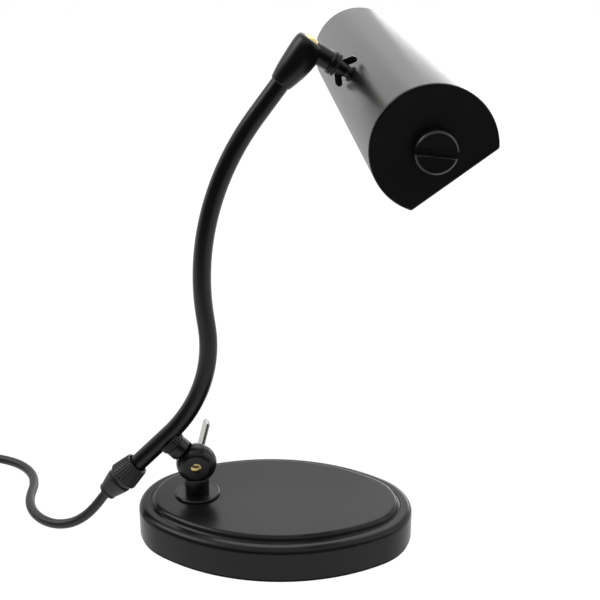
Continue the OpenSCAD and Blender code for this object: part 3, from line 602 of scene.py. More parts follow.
class Form:
    """A mesh in the making, in millimetres in its own frame."""

    def __init__(self) -> None:
        """Starts empty."""
        self.points: list[Vector] = []
        self.faces: list[tuple[int, ...]] = []
        self.marks: list[int] = []

    def face(self, points: Sequence[int], mark: int = 0) -> None:
        """Adds one face with the number of its finish."""
        self.faces.append(tuple(points))
        self.marks.append(mark)

    def loft(self, rings: Sequence[Sequence[Vector]], loop: bool = False) -> Form:
        """Joins rings of points into a skin.

        Args:
            rings: Rings of one size, or a single point for a pole.
            loop: Whether the last ring joins the first; otherwise open ends are capped.

        Returns:
            This form.
        """
        ends = []
        for ring in rings:
            ends.append((len(self.points), len(ring)))
            self.points.extend(ring)
        for low, high in zip(ends, ends[1:]):
            self._band(*low, *high)
        if loop:
            self._band(*ends[-1], *ends[0])
            return self
        for first, count in (ends[0], ends[-1]):
            if count > 1:
                self.face(range(first, first + count))
        return self

    def _band(self, a: int, a_count: int, b: int, b_count: int) -> None:
        """Joins two rings, or a ring and a pole, each given by its first point and its size."""
        count = max(a_count, b_count)
        for i in range(count):
            j = (i + 1) % count
            if a_count == 1:
                self.face((a, b + j, b + i))
            elif b_count == 1:
                self.face((a + i, a + j, b))
            else:
                self.face((a + i, a + j, b + j, b + i))

    def lathe(self, profile: Sequence[Flat], loop: bool = False, sides: int = ROUND) -> Form:
        """Turns a profile of (radius, height) about the z axis; a radius of nought is a pole."""
        rings = []
        for radius, height in profile:
            count = 1 if radius < TINY else sides
            rings.append(raised(arc(radius, 0, 360, count)[:-1], height))
        return self.loft(rings, loop)

    def sweep(self, path: Sequence[Vector], radius: float, sides: int) -> Form:
        """Draws a round tube along a path without twist."""
        count = len(path)
        headings = [(path[min(i + 1, count - 1)] - path[max(i - 1, 0)]).normalized() for i in range(count)]
        side = headings[0].orthogonal().normalized()
        rings = []
        for i, (point, heading) in enumerate(zip(path, headings)):
            if i:
                side = headings[i - 1].rotation_difference(heading) @ side
            side = (side - side.dot(heading) * heading).normalized()
            up = heading.cross(side)
            rings.append([point + x * side + y * up for x, y in arc(radius, 0, 360, sides)[:-1]])
        return self.loft(rings)

    def slab(self, outline: Sequence[Flat], half: float, edge: float, steps: int) -> Form:
        """Raises a flat outline by half below and above z = 0, its two rims rounded by edge."""
        mesh = bmesh.new()
        face = mesh.faces.new([mesh.verts.new(point) for point in raised(outline, -half)])
        grown = bmesh.ops.extrude_face_region(mesh, geom=[face])["geom"]
        tops = [item for item in grown if isinstance(item, bmesh.types.BMVert)]
        bmesh.ops.translate(mesh, verts=tops, vec=(0, 0, 2 * half))
        bmesh.ops.recalc_face_normals(mesh, faces=mesh.faces)
        rims = [e for e in mesh.edges if abs(e.verts[0].co.z - e.verts[1].co.z) < TINY]
        way = {"offset": edge, "segments": steps, "profile": 0.5, "affect": "EDGES", "clamp_overlap": True}
        bmesh.ops.bevel(mesh, geom=rims, **way)
        start = len(self.points)
        mesh.verts.index_update()
        self.points.extend(v.co.copy() for v in mesh.verts)
        for f in mesh.faces:
            self.face([start + v.index for v in f.verts])
        mesh.free()
        return self

    def moved(self, matrix: Matrix) -> Form:
        """Moves what the form holds so far; the matrix is in millimetres."""
        self.points = [matrix @ point for point in self.points]
        return self

    def join(self, other: Form) -> Form:
        """Takes in another form."""
        start = len(self.points)
        self.points.extend(other.points)
        for face, mark in zip(other.faces, other.marks):
            self.face([start + i for i in face], mark)
        return self

    def mesh(self, title: str, place: Matrix) -> bpy.types.Mesh:
        """Makes the mesh in metres, with its place in its points and its faces outwards."""
        mesh = bpy.data.meshes.new(title)
        mesh.from_pydata([place @ (point * MM) for point in self.points], [], self.faces)
        mesh.polygons.foreach_set("material_index", self.marks)
        tidy(mesh)
        return mesh


def tidy(mesh: bpy.types.Mesh, crease: float = 32.0) -> None:
    """Merges doubles, turns faces outwards and keeps edges sharper than crease degrees sharp."""
    work = bmesh.new()
    work.from_mesh(mesh)
    bmesh.ops.remove_doubles(work, verts=work.verts, dist=MERGE)
    bmesh.ops.recalc_face_normals(work, faces=work.faces)
    work.to_mesh(mesh)
    work.free()
    mesh.polygons.foreach_set("use_smooth", [True] * len(mesh.polygons))
    mesh.set_sharp_from_angle(angle=math.radians(crease))


def merge(mesh: bpy.types.Mesh, other: bpy.types.Mesh) -> None:
    """Adds another mesh's faces to a mesh."""
    work = bmesh.new()
    work.from_mesh(mesh)
    work.from_mesh(other)
    work.to_mesh(mesh)
    work.free()
    tidy(mesh)


def linked(title: str, data: bpy.types.ID) -> bpy.types.Object:
    """Puts a new object in the scene."""
    made = bpy.data.objects.new(title, data)
    bpy.context.scene.collection.objects.link(made)
    return made


def evaluated(made: bpy.types.Object) -> bpy.types.Mesh:
    """The plain mesh that an object's modifiers make of it."""
    return bpy.data.meshes.new_from_object(made.evaluated_get(bpy.context.evaluated_depsgraph_get()))


def cut(mesh: bpy.types.Mesh, tool: bpy.types.Mesh) -> bpy.types.Mesh:
    """Cuts a tool's shape out of a mesh and returns the result."""
    block, knife = linked("cut_block", mesh), linked("cut_tool", tool)
    modifier = block.modifiers.new("cut", "BOOLEAN")
    modifier.operation = "DIFFERENCE"
    modifier.object = knife
    modifier.solver = "EXACT"
    result = evaluated(block)
    for found in (block, knife):
        bpy.data.objects.remove(found)
    tidy(result)
    return result


def piece(
    title: str,
    mesh: bpy.types.Mesh,
    finishes: Sequence[Finish],
    body: Body | None,
    stands_for: Sequence[str] = (),
) -> bpy.types.Object:
    """Makes a finished piece of a mesh.

    Args:
        title: The piece's name.
        mesh: Its mesh, in place.
        finishes: Its finishes, in the order of the faces' finish numbers.
        body: The body that it rides on, or none, which leaves it on no body.
        stands_for: The frame's nodes that it replaces.

    Returns:
        The new object.
    """
    mesh.name = title
    marks = [polygon.material_index for polygon in mesh.polygons]
    mesh.materials.clear()
    for finish in finishes:
        mesh.materials.append(finish.material())
    mesh.polygons.foreach_set("material_index", [min(mark, len(finishes) - 1) for mark in marks])
    made = linked(title, mesh)
    if stands_for:
        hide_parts(*stands_for)
    if body:
        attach(made, body.value)
    LOG.info("%s: %d faces", title, len(mesh.polygons))
    return made


def turned(
    title: str,
    profile: Sequence[Flat],
    place: Matrix,
    finish: Finish,
    body: Body,
    node: str,
    loop: bool = False,
    sides: int = ROUND,
) -> bpy.types.Object:
    """Makes a finished piece that is turned about an axis.

    Args:
        title: The piece's name.
        profile: Its profile.
        place: The frame whose z axis it is turned about.
        finish: Its finish.
        body: The body that it rides on.
        node: The frame's node that it replaces.
        loop: Whether the profile closes on itself, clear of the axis.
        sides: Points round it.

    Returns:
        The new object.
    """
    return piece(title, Form().lathe(profile, loop, sides).mesh(title, place), [finish], body, [node])


def dress_nodes(frame: dict, finish: Finish, *titles: str) -> None:
    """Gives nodes of the frame their finish."""
    for title in titles:
        node = frame["nodes"][title]
        if not node.material_slots:
            node.data.materials.append(finish.material())
        for slot in node.material_slots:
            slot.material = finish.material()
        LOG.info("%s: kept, in %s", title, finish.title)


# ---------------------------------------------------------------- repeated forms


class Pattern(SharedTree):
    """A Geometry Nodes tree that makes a repeated form, with its sizes as inputs."""

    kind = "GeometryNodeTree"
    gives = (("Geometry", "NodeSocketGeometry"),)
    crease = 40.0
    not_lengths = ("Count", "Lean")

    def build(self, wiring: Wiring, outside: Sockets) -> dict[str, Socket]:
        """Makes the instances real, shades them smooth and gives them the finish."""
        real = wiring.add("GeometryNodeRealizeInstances", {0: self.repeat(wiring, outside)}).outputs[0]
        smooth = wiring.add("GeometryNodeSetShadeSmooth", {"Geometry": real}).outputs[0]
        dressed = wiring.add("GeometryNodeSetMaterial", {"Geometry": smooth, "Material": outside["Finish"]})
        return {"Geometry": dressed.outputs[0]}

    def repeat(self, wiring: Wiring, outside: Sockets) -> Socket:
        """Draws the nodes that repeat the form and returns the instances."""
        raise NotImplementedError

    def make(self, title: str, finish: Finish, place: Matrix, body: Body, **sizes: float) -> bpy.types.Object:
        """Makes a piece of the pattern.

        Args:
            title: The piece's name.
            finish: Its finish.
            place: Where the pattern's own frame lies.
            body: The body that it rides on.
            sizes: The tree's inputs, in millimetres or radians, and the count as a whole number.

        Returns:
            The new object.
        """
        carrier = linked("carrier", bpy.data.meshes.new("carrier"))
        modifier = carrier.modifiers.new("pattern", "NODES")
        modifier.node_group = self.tree()
        for item in modifier.node_group.interface.items_tree:
            if item.name == "Finish":
                modifier[item.identifier] = finish.material()
            elif item.in_out == "INPUT":
                value = sizes[item.name.lower()]
                modifier[item.identifier] = value if item.name in self.not_lengths else value * MM
        mesh = evaluated(carrier)
        carrier.modifiers.clear()
        bpy.data.objects.remove(carrier)
        mesh.transform(place)
        tidy(mesh, self.crease)
        return piece(title, mesh, [finish], body)


class RibRing(Pattern):
    """Straight ribs round a cone."""

    title = "rib_ring"
    takes = (
        ("Count", "NodeSocketInt"),
        ("Radius", "NodeSocketFloat"),
        ("Length", "NodeSocketFloat"),
        ("Width", "NodeSocketFloat"),
        ("Lean", "NodeSocketFloat"),
        ("Finish", "NodeSocketMaterial"),
    )
    rib_sides = 10

    def repeat(self, wiring: Wiring, outside: Sockets) -> Socket:
        """One rib on each point of a circle, leaning with the cone."""
        circle = wiring.add("GeometryNodeMeshCircle", {"Vertices": outside["Count"], "Radius": outside["Radius"]})
        sizes = {"Vertices": self.rib_sides, "Radius": outside["Width"], "Depth": outside["Length"]}
        rib = wiring.add("GeometryNodeMeshCylinder", sizes).outputs["Mesh"]
        where = wiring.add("GeometryNodeInputPosition").outputs[0]
        outwards = wiring.add("FunctionNodeAlignRotationToVector", {"Vector": where}, axis="X", pivot_axis="Z")
        stands = {"Points": circle.outputs[0], "Instance": rib, "Rotation": outwards.outputs[0]}
        ribs = wiring.add("GeometryNodeInstanceOnPoints", stands).outputs[0]
        lean = wiring.add("ShaderNodeCombineXYZ", {"Y": outside["Lean"]}).outputs[0]
        turns = {"Instances": ribs, "Rotation": lean, "Local Space": True}
        return wiring.add("GeometryNodeRotateInstances", turns).outputs[0]


class RingStack(Pattern):
    """Round beads one above the other, as the crests of a thread or the rings of a grip."""

    title = "ring_stack"
    takes = (
        ("Count", "NodeSocketInt"),
        ("Pitch", "NodeSocketFloat"),
        ("Radius", "NodeSocketFloat"),
        ("Bead", "NodeSocketFloat"),
        ("Finish", "NodeSocketMaterial"),
    )
    round_sides = 72
    bead_sides = 12

    def repeat(self, wiring: Wiring, outside: Sockets) -> Socket:
        """A bead swept round a circle, on each point of a line."""
        path, section = (
            wiring.add("GeometryNodeCurvePrimitiveCircle", {"Resolution": sides, "Radius": outside[size]}).outputs[0]
            for sides, size in ((self.round_sides, "Radius"), (self.bead_sides, "Bead"))
        )
        bead = wiring.add("GeometryNodeCurveToMesh", {0: path, 1: section}).outputs[0]
        step = wiring.add("ShaderNodeCombineXYZ", {"Z": outside["Pitch"]}).outputs[0]
        line = wiring.add("GeometryNodeMeshLine", {"Count": outside["Count"], "Offset": step}).outputs[0]
        return wiring.add("GeometryNodeInstanceOnPoints", {"Points": line, "Instance": bead}).outputs[0]


# ---------------------------------------------------------------- the arm's plane


@dataclass(frozen=True)
class ArmPlane:
    """The upright plane that the arm stands in, and the swan neck drawn in it."""

    post_x: float = -56.9
    turn: float = 8.0
    base_h: float = 29.7
    hinge_rise: float = 24.8
    boss_dir: float = 134.0
    boss_reach: float = 30.4
    tail_run: float = 29.7
    first_run: float = 3.4
    bend_a_r: float = 97.8
    bend_a: float = 52.8
    mid_run: float = 8.6
    bend_b_r: float = 191.9
    bend_b: float = 43.7
    top_run: float = 26.6
    bend_step: float = 1.5
    grip: float = 8.0
    neck_at: float = 28.4
    neck_dir: float = -31.3
    axis_at: float = 69.12

    @property
    def frame(self) -> Matrix:
        """The plane's own frame: x outwards, y away from the front, z up."""
        return shift(self.post_x, 0, 0) @ spin(self.turn, "Z")

    @property
    def hinge(self) -> Vector:
        """The hinge's centre."""
        return Vector((0, self.base_h + self.hinge_rise))

    @property
    def foot_dir(self) -> float:
        """The direction of the tube's straight foot."""
        return self.boss_dir - 90

    @property
    def foot(self) -> Vector:
        """Where the boss meets the tube's centre line."""
        return self.hinge + Vector(polar(self.boss_reach, self.boss_dir))

    @property
    def tail_end(self) -> Vector:
        """Where the tail nut begins."""
        return self.foot - Vector(polar(self.tail_run, self.foot_dir))

    @property
    def elbow_dir(self) -> float:
        """The direction of the tube at the elbow."""
        return self.foot_dir + self.bend_a - self.bend_b

    def swan_neck(self) -> list[Vector]:
        """The tube's centre line from the tail nut to the elbow's foot, as (outwards, height)."""
        heading = self.foot_dir
        at = self.foot + Vector(polar(self.first_run, heading))
        path = [self.tail_end, at]
        bends = ((self.bend_a_r, self.bend_a, self.mid_run), (self.bend_b_r, -self.bend_b, self.top_run))
        for radius, bend, after in bends:
            side = math.copysign(90, bend)
            centre = at + Vector(polar(radius, heading + side))
            start = heading - side
            steps = int(abs(bend) / self.bend_step)
            path.extend(centre + Vector(point) for point in arc(radius, start, start + bend, steps)[1:])
            heading += bend
            at = path[-1] + Vector(polar(after, heading))
            path.append(at)
        return path

    @property
    def elbow(self) -> Vector:
        """The elbow's foot on the tube."""
        return self.swan_neck()[-1]

    @property
    def neck(self) -> Vector:
        """Where the neck's line leaves the elbow's."""
        return self.elbow + Vector(polar(self.neck_at, self.elbow_dir))

    @property
    def shade(self) -> Vector:
        """The shade's axis."""
        return self.neck + Vector(polar(self.axis_at, self.neck_dir))

    def along(self, at: Vector, direction: float) -> Matrix:
        """The frame whose z axis starts at a place and runs along a direction of the plane."""
        return self.frame @ shift(at.x, 0, at.y) @ spin(90 - direction, "Y")

    def across(self, at: Vector, away: float = 0.0) -> Matrix:
        """The frame whose z axis starts at a place and runs away from the front."""
        return self.frame @ shift(at.x, away, at.y) @ spin(-90, "X")

    def on_neck(self, distance: float) -> Matrix:
        """The frame on the neck's line at a distance from the elbow's."""
        return self.along(self.neck + Vector(polar(distance, self.neck_dir)), self.neck_dir)

    def on_post(self, height: float) -> Matrix:
        """The upright frame on the post's axis at a height above the table."""
        return shift(self.post_x, 0, height)


PLANE = ArmPlane()


# ---------------------------------------------------------------- cord


@dataclass
class Cord:
    """The mains cord from the strain relief to its plug: a lead over the table and the put-away coil."""

    diameter: float = 7.0
    length: float = 1800.0
    inside: float = 5.0
    relief_end: float = 32.7
    lead: tuple[Spot, ...] = (
        (-74.5, 0, 22), (-83, 0.5, 13.5), (-93, 2, 7.5), (-104.5, 6, 4.3), (-115, 13, 3.6), (-123, 23, 3.6),
        (-128, 35, 3.6), (-130, 47, 3.6), (-130, 58, 3.6),
    )
    floor: tuple[Spot, ...] = (
        (-130, 66, 3.6), (-132.5, 79, 3.6), (-138.5, 91, 3.6), (-147.5, 101, 3.6), (-159, 108.5, 3.6),
        (-172, 113.5, 3.6), (-186, 116.5, 3.6), (-200, 117.5, 3.6),
    )
    coil_centre: Flat = (-222, 66)
    turns: float = 6.25
    inner_r: float = 28.0
    pitch: float = 7.5
    layer: float = 7.5
    low: float = 3.6
    start: float = 90.0
    step: float = 7.5
    sides: int = 20
    tie_at: float = 200.0
    tie_w: float = 9.0
    tie_t: float = 0.7
    plug_r: float = 11.1
    plug_half_w: float = 4.0
    plug_relief_l: float = 28.0
    plug_rings: int = 6
    plug_body_l: float = 30.0
    plug_sections: tuple[Flat, ...] = (
        (-2.6, 3.4), (-1.2, 1.9), (0.3, 1.0), (2.5, 0.35), (5.5, 0.0), (9.0, 0.0), (10.0, 0.7), (11.0, 0.0),
        (14.0, 0.0), (15.0, 0.7), (16.0, 0.0), (19.0, 0.0), (20.0, 0.7), (21.0, 0.0), (28.6, 0.0), (29.6, 0.4),
        (30.0, 1.4),
    )
    blade_gap: float = 12.7
    blade_l: float = 17.0
    blade_w: float = 6.3
    blade_t: float = 1.5
    blade_hole_r: float = 1.6
    blade_hole_at: float = 5.5

    @property
    def half(self) -> float:
        """Half of the coil's angle, in degrees."""
        return self.turns * 180

    def coil_point(self, angle: float) -> Vector:
        """A point of the coil: it winds in on the table, steps up and winds out on top."""
        radius = self.inner_r + self.pitch * abs(angle) / 360
        x, y = polar(radius, self.start + angle + self.half)
        rise = max(0.0, min(1.0, angle / 180 + 0.5))
        return Vector((self.coil_centre[0] + x, self.coil_centre[1] + y, self.low + self.layer * rise))

    @property
    def coil_end(self) -> Vector:
        """Where the cord enters the plug's own relief."""
        return self.coil_point(self.half) + Vector((*self.end_heading, 0)) * self.diameter

    @property
    def end_heading(self) -> Flat:
        """The cord's direction at the plug."""
        return polar(1.0, self.start + 2 * self.half + 90)

    def route(self) -> list[Vector]:
        """The cord's whole centre line in the arm's plane."""
        out = Vector(polar(1.0, PLANE.foot_dir + 180))
        leave = PLANE.tail_end + out * self.relief_end
        start = leave - out * self.inside
        first = [Vector((start.x, 0, start.y)), Vector((leave.x, 0, leave.y))]
        corners = [*first, *(Vector(p) for p in (*self.lead, *self.floor))]
        angles = [-self.half + self.step * i for i in range(int(2 * self.half / self.step) + 1)]
        joined = smooth_path([*corners, self.coil_point(-self.half) + Vector((self.diameter, 0, 0))], 3)
        return [*joined, *(self.coil_point(angle) for angle in angles), self.coil_end]

    def build(self) -> None:
        path = self.route()
        mesh = Form().sweep(path, self.diameter / 2, self.sides).mesh("cord", PLANE.frame)
        cord = piece("cord", mesh, [CORD_SKIN], None, ("cord_lead", "cord_floor", "cord_coil"))
        with_pieces = [self.tie(), self.plug(), *self.blades()]
        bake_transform(cord)

    def tie(self) -> bpy.types.Object:
        """The strap that holds the coil together."""
        r, t, half = self.diameter / 2, self.tie_t, self.tie_w / 2
        inner = self.inner_r - r
        outer = self.inner_r + self.pitch * self.half / 360 + r
        top = self.low + self.layer + r
        band = box((inner - t, outer + t), (0.05, top + t), (2, 2, 3, 3), 6)
        hole = box((inner, outer), (0.1, top), (1.8, 1.8, 2.6, 2.6), 6)
        around = ((band, -half), (band, half), (hole, half), (hole, -half))
        rings = [[Vector((x, side, z)) for x, z in outline] for outline, side in around]
        place = PLANE.frame @ shift(*self.coil_centre, 0) @ spin(self.tie_at, "Z")
        return piece("coil_tie", Form().loft(rings, loop=True).mesh("coil_tie", place), [RELIEF_PLASTIC], Body.STAND)

    @property
    def plug_frame(self) -> Matrix:
        """The frame on the plug's axis, z towards the blades and x down."""
        x, y = self.end_heading
        turn = Matrix.Rotation(math.atan2(y, x), 4, "Z") @ spin(90, "Y")
        return PLANE.frame @ Matrix.Translation(self.coil_end * MM) @ turn

    def plug(self) -> bpy.types.Object:
        """The moulded plug: a grooved relief that swells into a flat rounded body."""
        length = self.plug_relief_l
        relief = [(0, -2), (3.9, -2)]
        for i in range(self.plug_rings):
            at = i * (length - 4) / self.plug_rings
            radius = 4.6 + 0.55 * i
            relief += [(radius, at), (radius + 0.15, at + 2.4), (radius - 0.7, at + 2.7), (radius - 0.6, at + 3.8)]
        relief += [(8.4, length - 2), (8.6, length + 2), (0, length + 2)]
        form = Form().lathe(relief, sides=SMALL_ROUND)
        form.loft([self.section(length + at, inset) for at, inset in self.plug_sections])
        return piece("plug", form.mesh("plug", self.plug_frame), [RELIEF_PLASTIC], Body.STAND, ["plug_body"])

    def section(self, height: float, inset: float) -> list[Vector]:
        """The plug's section at a height, two half rounds apart, set in all round."""
        upper = [(x, y + self.plug_half_w) for x, y in arc(self.plug_r - inset, 0, 180, 24)]
        return raised([*upper, *((-x, -y) for x, y in upper)], height)

    def blades(self) -> list[bpy.types.Object]:
        """The plug's two flat blades, each with its hole."""
        made = []
        half, reach = self.blade_w / 2, self.blade_hole_r
        front = self.plug_relief_l + self.plug_body_l
        outline = box((-half, half), (-2, self.blade_l), (0, 0, 1.6, 1.6), 5)
        for number, side, replaced in ((1, -1, ["plug_blades"]), (2, 1, [])):
            stand = self.plug_frame @ shift(0, side * self.blade_gap / 2, front) @ spin(90, "X")
            hole = Form().lathe([(0, -2), (reach, -2), (reach, 2), (0, 2)], sides=TINY_ROUND)
            hole.moved(Matrix.Translation((0, self.blade_l - self.blade_hole_at, 0)))
            mesh = Form().slab(outline, self.blade_t / 2, 0.25, 2).mesh("blade", stand)
            mesh = cut(mesh, hole.mesh("hole", stand))
            made.append(piece(f"plug_blade_{number}", mesh, [BRASS], Body.STAND, replaced))
        return made


# ---------------------------------------------------------------- base


@dataclass
class Base:
    """The weighted oval base: pad, pressed shell and what hides inside it."""

    length: float = 199.2
    depth: float = 131.2
    height: float = 29.7
    ledge_drop: float = 3.9
    wall_round: float = 5.0
    riser_inset: float = 9.9
    groove_r: float = 0.7
    groove_gap: float = 0.2
    shell_t: float = 1.8
    edge: float = 0.25
    lining_shoulder: float = 24.0
    lining_side: float = 20.0
    pad_t: float = 2.0
    pad_inset: float = 0.7
    pad_reach: float = 60.0
    steps: int = 36

    def oval(self, inset: float, height: float) -> list[Vector]:
        """The base's outline set in by inset: four arcs on 3-4-5 triangles that meet without a corner."""
        end_c = 1.5 * (self.length - self.depth) / 2
        side_c = end_c * 4 / 3
        end_r = self.length / 2 - end_c - inset
        side_r = side_c + self.depth / 2 - inset
        join = math.degrees(math.atan2(4, 3))
        arcs = (
            (end_c, 0, end_r, -join, join),
            (0, -side_c, side_r, join, 180 - join),
            (-end_c, 0, end_r, 180 - join, 180 + join),
            (0, side_c, side_r, 180 + join, 360 - join),
        )
        ring = []
        for x, y, *bow in arcs:
            ring += [(x + dx, y + dy) for dx, dy in arc(*bow, self.steps)[:-1]]
        return raised(ring, height)

    def shell_profile(self) -> list[Flat]:
        """The shell's outer skin from its lower edge to the top, as (inset, height)."""
        ledge = self.height - self.ledge_drop
        skin: list[Flat] = [(self.edge, self.pad_t), (0, self.pad_t + self.edge)]
        skin += [(self.wall_round - x, ledge - self.wall_round + y) for x, y in arc(self.wall_round, 0, 90, 12)]
        groove = self.riser_inset - self.groove_gap - self.groove_r
        skin.append((groove - self.groove_r - self.edge, ledge))
        skin += [(groove + x, ledge + y) for x, y in arc(self.groove_r, 180, 360, 8)]
        skin += [(self.riser_inset + self.ledge_drop - x, ledge + y) for x, y in arc(self.ledge_drop, 0, 90, 12)]
        return skin

    def build(self, frame: dict) -> None:
        """Makes the shell and the pad, and dresses what is hidden."""
        wall, low = self.shell_t, self.pad_t
        lining = [
            (self.riser_inset + self.ledge_drop, self.height - wall), (self.wall_round, self.lining_shoulder),
            (wall, self.lining_side), (wall, low + self.edge), (wall - self.edge, low),
        ]
        self.layer("base_body", [*reversed(lining), *self.shell_profile()], SATIN, "base_shell")
        reach, side = self.pad_reach, self.pad_inset
        pad = rounded([(reach, 0, 0), (side, 0, 0.4), (side, self.pad_t, 0.3), (reach, self.pad_t, 0)], 3)
        self.layer("felt_pad", pad[1:-1], FELT, "base_pad")
        dress_nodes(frame, IRON, "base_weight")
        dress_nodes(frame, STEEL, "base_nipple", "base_washer", "base_nut")

    def layer(self, title: str, profile: Sequence[Flat], finish: Finish, node: str) -> None:
        """Makes a piece whose profile, as (inset, height), runs round the oval."""
        mesh = Form().loft([self.oval(inset, height) for inset, height in profile]).mesh(title, Matrix())
        piece(title, mesh, [finish], Body.STAND, [node])


# ---------------------------------------------------------------- hinge


@dataclass
class WingNut:
    """A wing nut that bears on z = 0: a tapered hub and two ears that lean outwards."""

    bore: float
    hub_r: float
    hub_h: float
    reach: float
    height: float
    thickness: float
    twist: float = 0.0
    tip: float = 0.17
    taper: float = 0.84
    lean: float = -38.0

    def ear(self) -> list[Flat]:
        """One ear's outline, from inside the hub to its rounded tip and back."""
        tip_r = self.tip * self.reach
        tip = Vector((self.reach - tip_r, self.height - tip_r))
        low, high = (tip + Vector(polar(tip_r, self.lean + turn)) for turn in (0, 180))
        crown = tip + Vector(polar(1.25 * tip_r, self.lean + 90))
        shoulder, soft = 0.4 * tip_r, 1.2 * tip_r
        root, foot, top = self.bore + 0.3, 0.12 * self.hub_h, 0.92 * self.hub_h
        corners = [
            (root, foot, 0), (0.9 * self.hub_r, foot, 1.5), (low.x, low.y, 1.5),
            (crown.x + shoulder, crown.y - shoulder, soft), (crown.x - shoulder, crown.y + shoulder, soft),
            (high.x, high.y, 1.5), (0.8 * self.hub_r, top, 1.5), (root, top, 0),
        ]
        return rounded(corners, 5, True)

    def form(self) -> Form:
        """The hub with its bore, and two ears with rounded rims, each turned about its own line by twist."""
        bore, top = self.bore, self.taper * self.hub_r
        hub = [(bore, 0, 0.3), (self.hub_r, 0, 0.4), (top, self.hub_h, 0.8), (bore, self.hub_h, 0.4)]
        form = Form().lathe(rounded(hub, 4, True), loop=True, sides=SMALL_ROUND)
        outline = self.ear()
        middle = Matrix.Translation((0, 0, self.hub_h / 2))
        lean = middle @ spin(self.twist, "X") @ middle.inverted()
        for turn in (0, 180):
            stand = spin(turn, "Z") @ lean @ spin(90, "X")
            form.join(Form().slab(outline, self.thickness / 2, 0.9, 4).moved(stand))
        return form


@dataclass
class Hinge:
    """The tilting hinge: post and flange, two knuckle halves, friction washer, bolt, washer and wing nut."""

    post_d: float = 17.5
    post_z: float = 31.7
    flange_d: float = 33.0
    flange_t: float = 2.0
    flange_edge: float = 0.8
    flange_bore: float = 4.9
    knuckle_d: float = 29.3
    knuckle_w: float = 17.4
    flat_d: float = 18.7
    friction_t: float = 0.4
    bolt_d: float = 6.0
    bolt_tail: float = 13.0
    thread_at: float = 10.6
    thread_pitch: float = 0.9
    thread_bead: float = 0.28
    head_d: float = 7.5
    head_h: float = 1.6
    washer_r: float = 10.5
    washer_t: float = 1.4
    play: float = 0.05
    wing_turn: float = 60.0
    wing_twist: float = 22.0
    boss_d: float = 17.0
    boss_top: float = 22.4

    @property
    def half_w(self) -> float:
        """Half the closed knuckle's thickness."""
        return self.knuckle_w / 2

    def knuckle(self, hole: float) -> Form:
        """One half of the knuckle: a ball with a flat cheek, from the joint's plane outwards along z."""
        ball, flat = self.knuckle_d / 2, self.flat_d / 2
        cheek = ((ball - flat) ** 2 + self.half_w ** 2) / (2 * (ball - flat))
        centre = ball - cheek
        inner = self.friction_t / 2
        start = math.degrees(math.asin(inner / cheek)) + 1.4
        end = math.degrees(math.atan2(self.half_w, flat - centre)) - 2.0
        skin: list[Flat] = [(hole, inner), (ball - 0.35, inner)]
        skin += [(centre + x, y) for x, y in arc(cheek, start, end, 18)]
        skin += [(flat - 0.12, self.half_w - 0.02), (flat - 0.5, self.half_w), (hole, self.half_w)]
        return Form().lathe(skin, loop=True)

    def build(self, frame: dict) -> None:
        """Makes the stand's half with its post and flange, and what clamps the knuckle."""
        axis = PLANE.across(PLANE.hinge)
        rise, half = PLANE.hinge.y - self.post_z, self.post_d / 2
        upright = [
            (0, 0, 0), (half, 0, 0.3), (half, rise - 11.6, 0.6), (half - 0.7, rise - 11, 0.6),
            (half - 0.9, rise - 7, 0), (0, rise - 6, 0),
        ]
        mesh = self.knuckle(self.bolt_d / 2).moved(INWARDS).mesh("post_knuckle", axis)
        merge(mesh, Form().lathe(rounded(upright, 4)).mesh("post", PLANE.on_post(self.post_z)))
        piece("post_and_knuckle", mesh, [PARTS], Body.STAND, ["post_knuckle"])
        self.flange()
        dress_nodes(frame, STEEL, "friction_washer")
        self.fasteners(axis)

    def flange(self) -> None:
        """The flange under the post, with a fine step in its upper edge."""
        bore, rim, top, edge = self.flange_bore, self.flange_d / 2, self.flange_t, self.flange_edge
        corners = [
            (bore, 0, 0), (rim - 0.3, 0, 0.2), (rim, 0.5, 0.3), (rim, top - edge, edge), (rim - edge, top, edge),
            (rim - 1.9, top, 0.5), (rim - 2.2, top - 0.15, 0.3), (bore, top, 0),
        ]
        place = PLANE.on_post(self.post_z - top)
        turned("post_flange", rounded(corners, 4, True), place, PARTS, Body.STAND, "base_flange", loop=True)

    def fasteners(self, axis: Matrix) -> None:
        """The bolt with its brass dome, the washer and the wing nut behind the knuckle."""
        shank, head, side = self.bolt_d / 2, self.head_d / 2, self.half_w
        wing = side + self.washer_t
        tail = wing + self.bolt_tail
        bolt = [(r, -side - h) for r, h in reversed(self.dome(head, self.head_h))]
        bolt += [(head - 0.1, -side), (shank, -side), (shank, tail - 0.7), (shank - 0.7, tail), (0, tail)]
        turned("hinge_bolt_body", bolt, axis, BRASS, Body.STAND, "hinge_bolt", sides=SMALL_ROUND)
        start, pitch, bead = axis @ shift(0, 0, wing + self.thread_at), self.thread_pitch, self.thread_bead
        RingStack().make("hinge_bolt_thread", BRASS, start, Body.STAND, count=2, pitch=pitch, radius=shank, bead=bead)
        washer = box((shank + 0.1, self.washer_r), (0, self.washer_t), (0.1, 0.3, 0.4, 0.1), 3)
        place = axis @ shift(0, 0, side)
        turned("hinge_washer_ring", washer, place, DARK_STEEL, Body.STAND, "hinge_washer", loop=True)
        nut = WingNut(
            shank + self.play, hub_r=7.5, hub_h=10.0, reach=23.8, height=17.0, thickness=2.8, twist=self.wing_twist
        )
        mesh = nut.form().mesh("wing", axis @ shift(0, 0, wing) @ spin(-self.wing_turn, "Z"))
        piece("hinge_wing_nut_body", mesh, [PLATED], Body.HINGE_WING, ["hinge_wing_nut"])

    @staticmethod
    def dome(radius: float, height: float) -> list[Flat]:
        """A domed cap's profile from its rim to its pole."""
        ball = (radius * radius + height * height) / (2 * height)
        rim = 90 - math.degrees(math.asin(radius / ball))
        return [*((x, y - ball + height) for x, y in arc(ball, rim, 90, 10)[:-1]), (0.0, height)]


# ---------------------------------------------------------------- arm


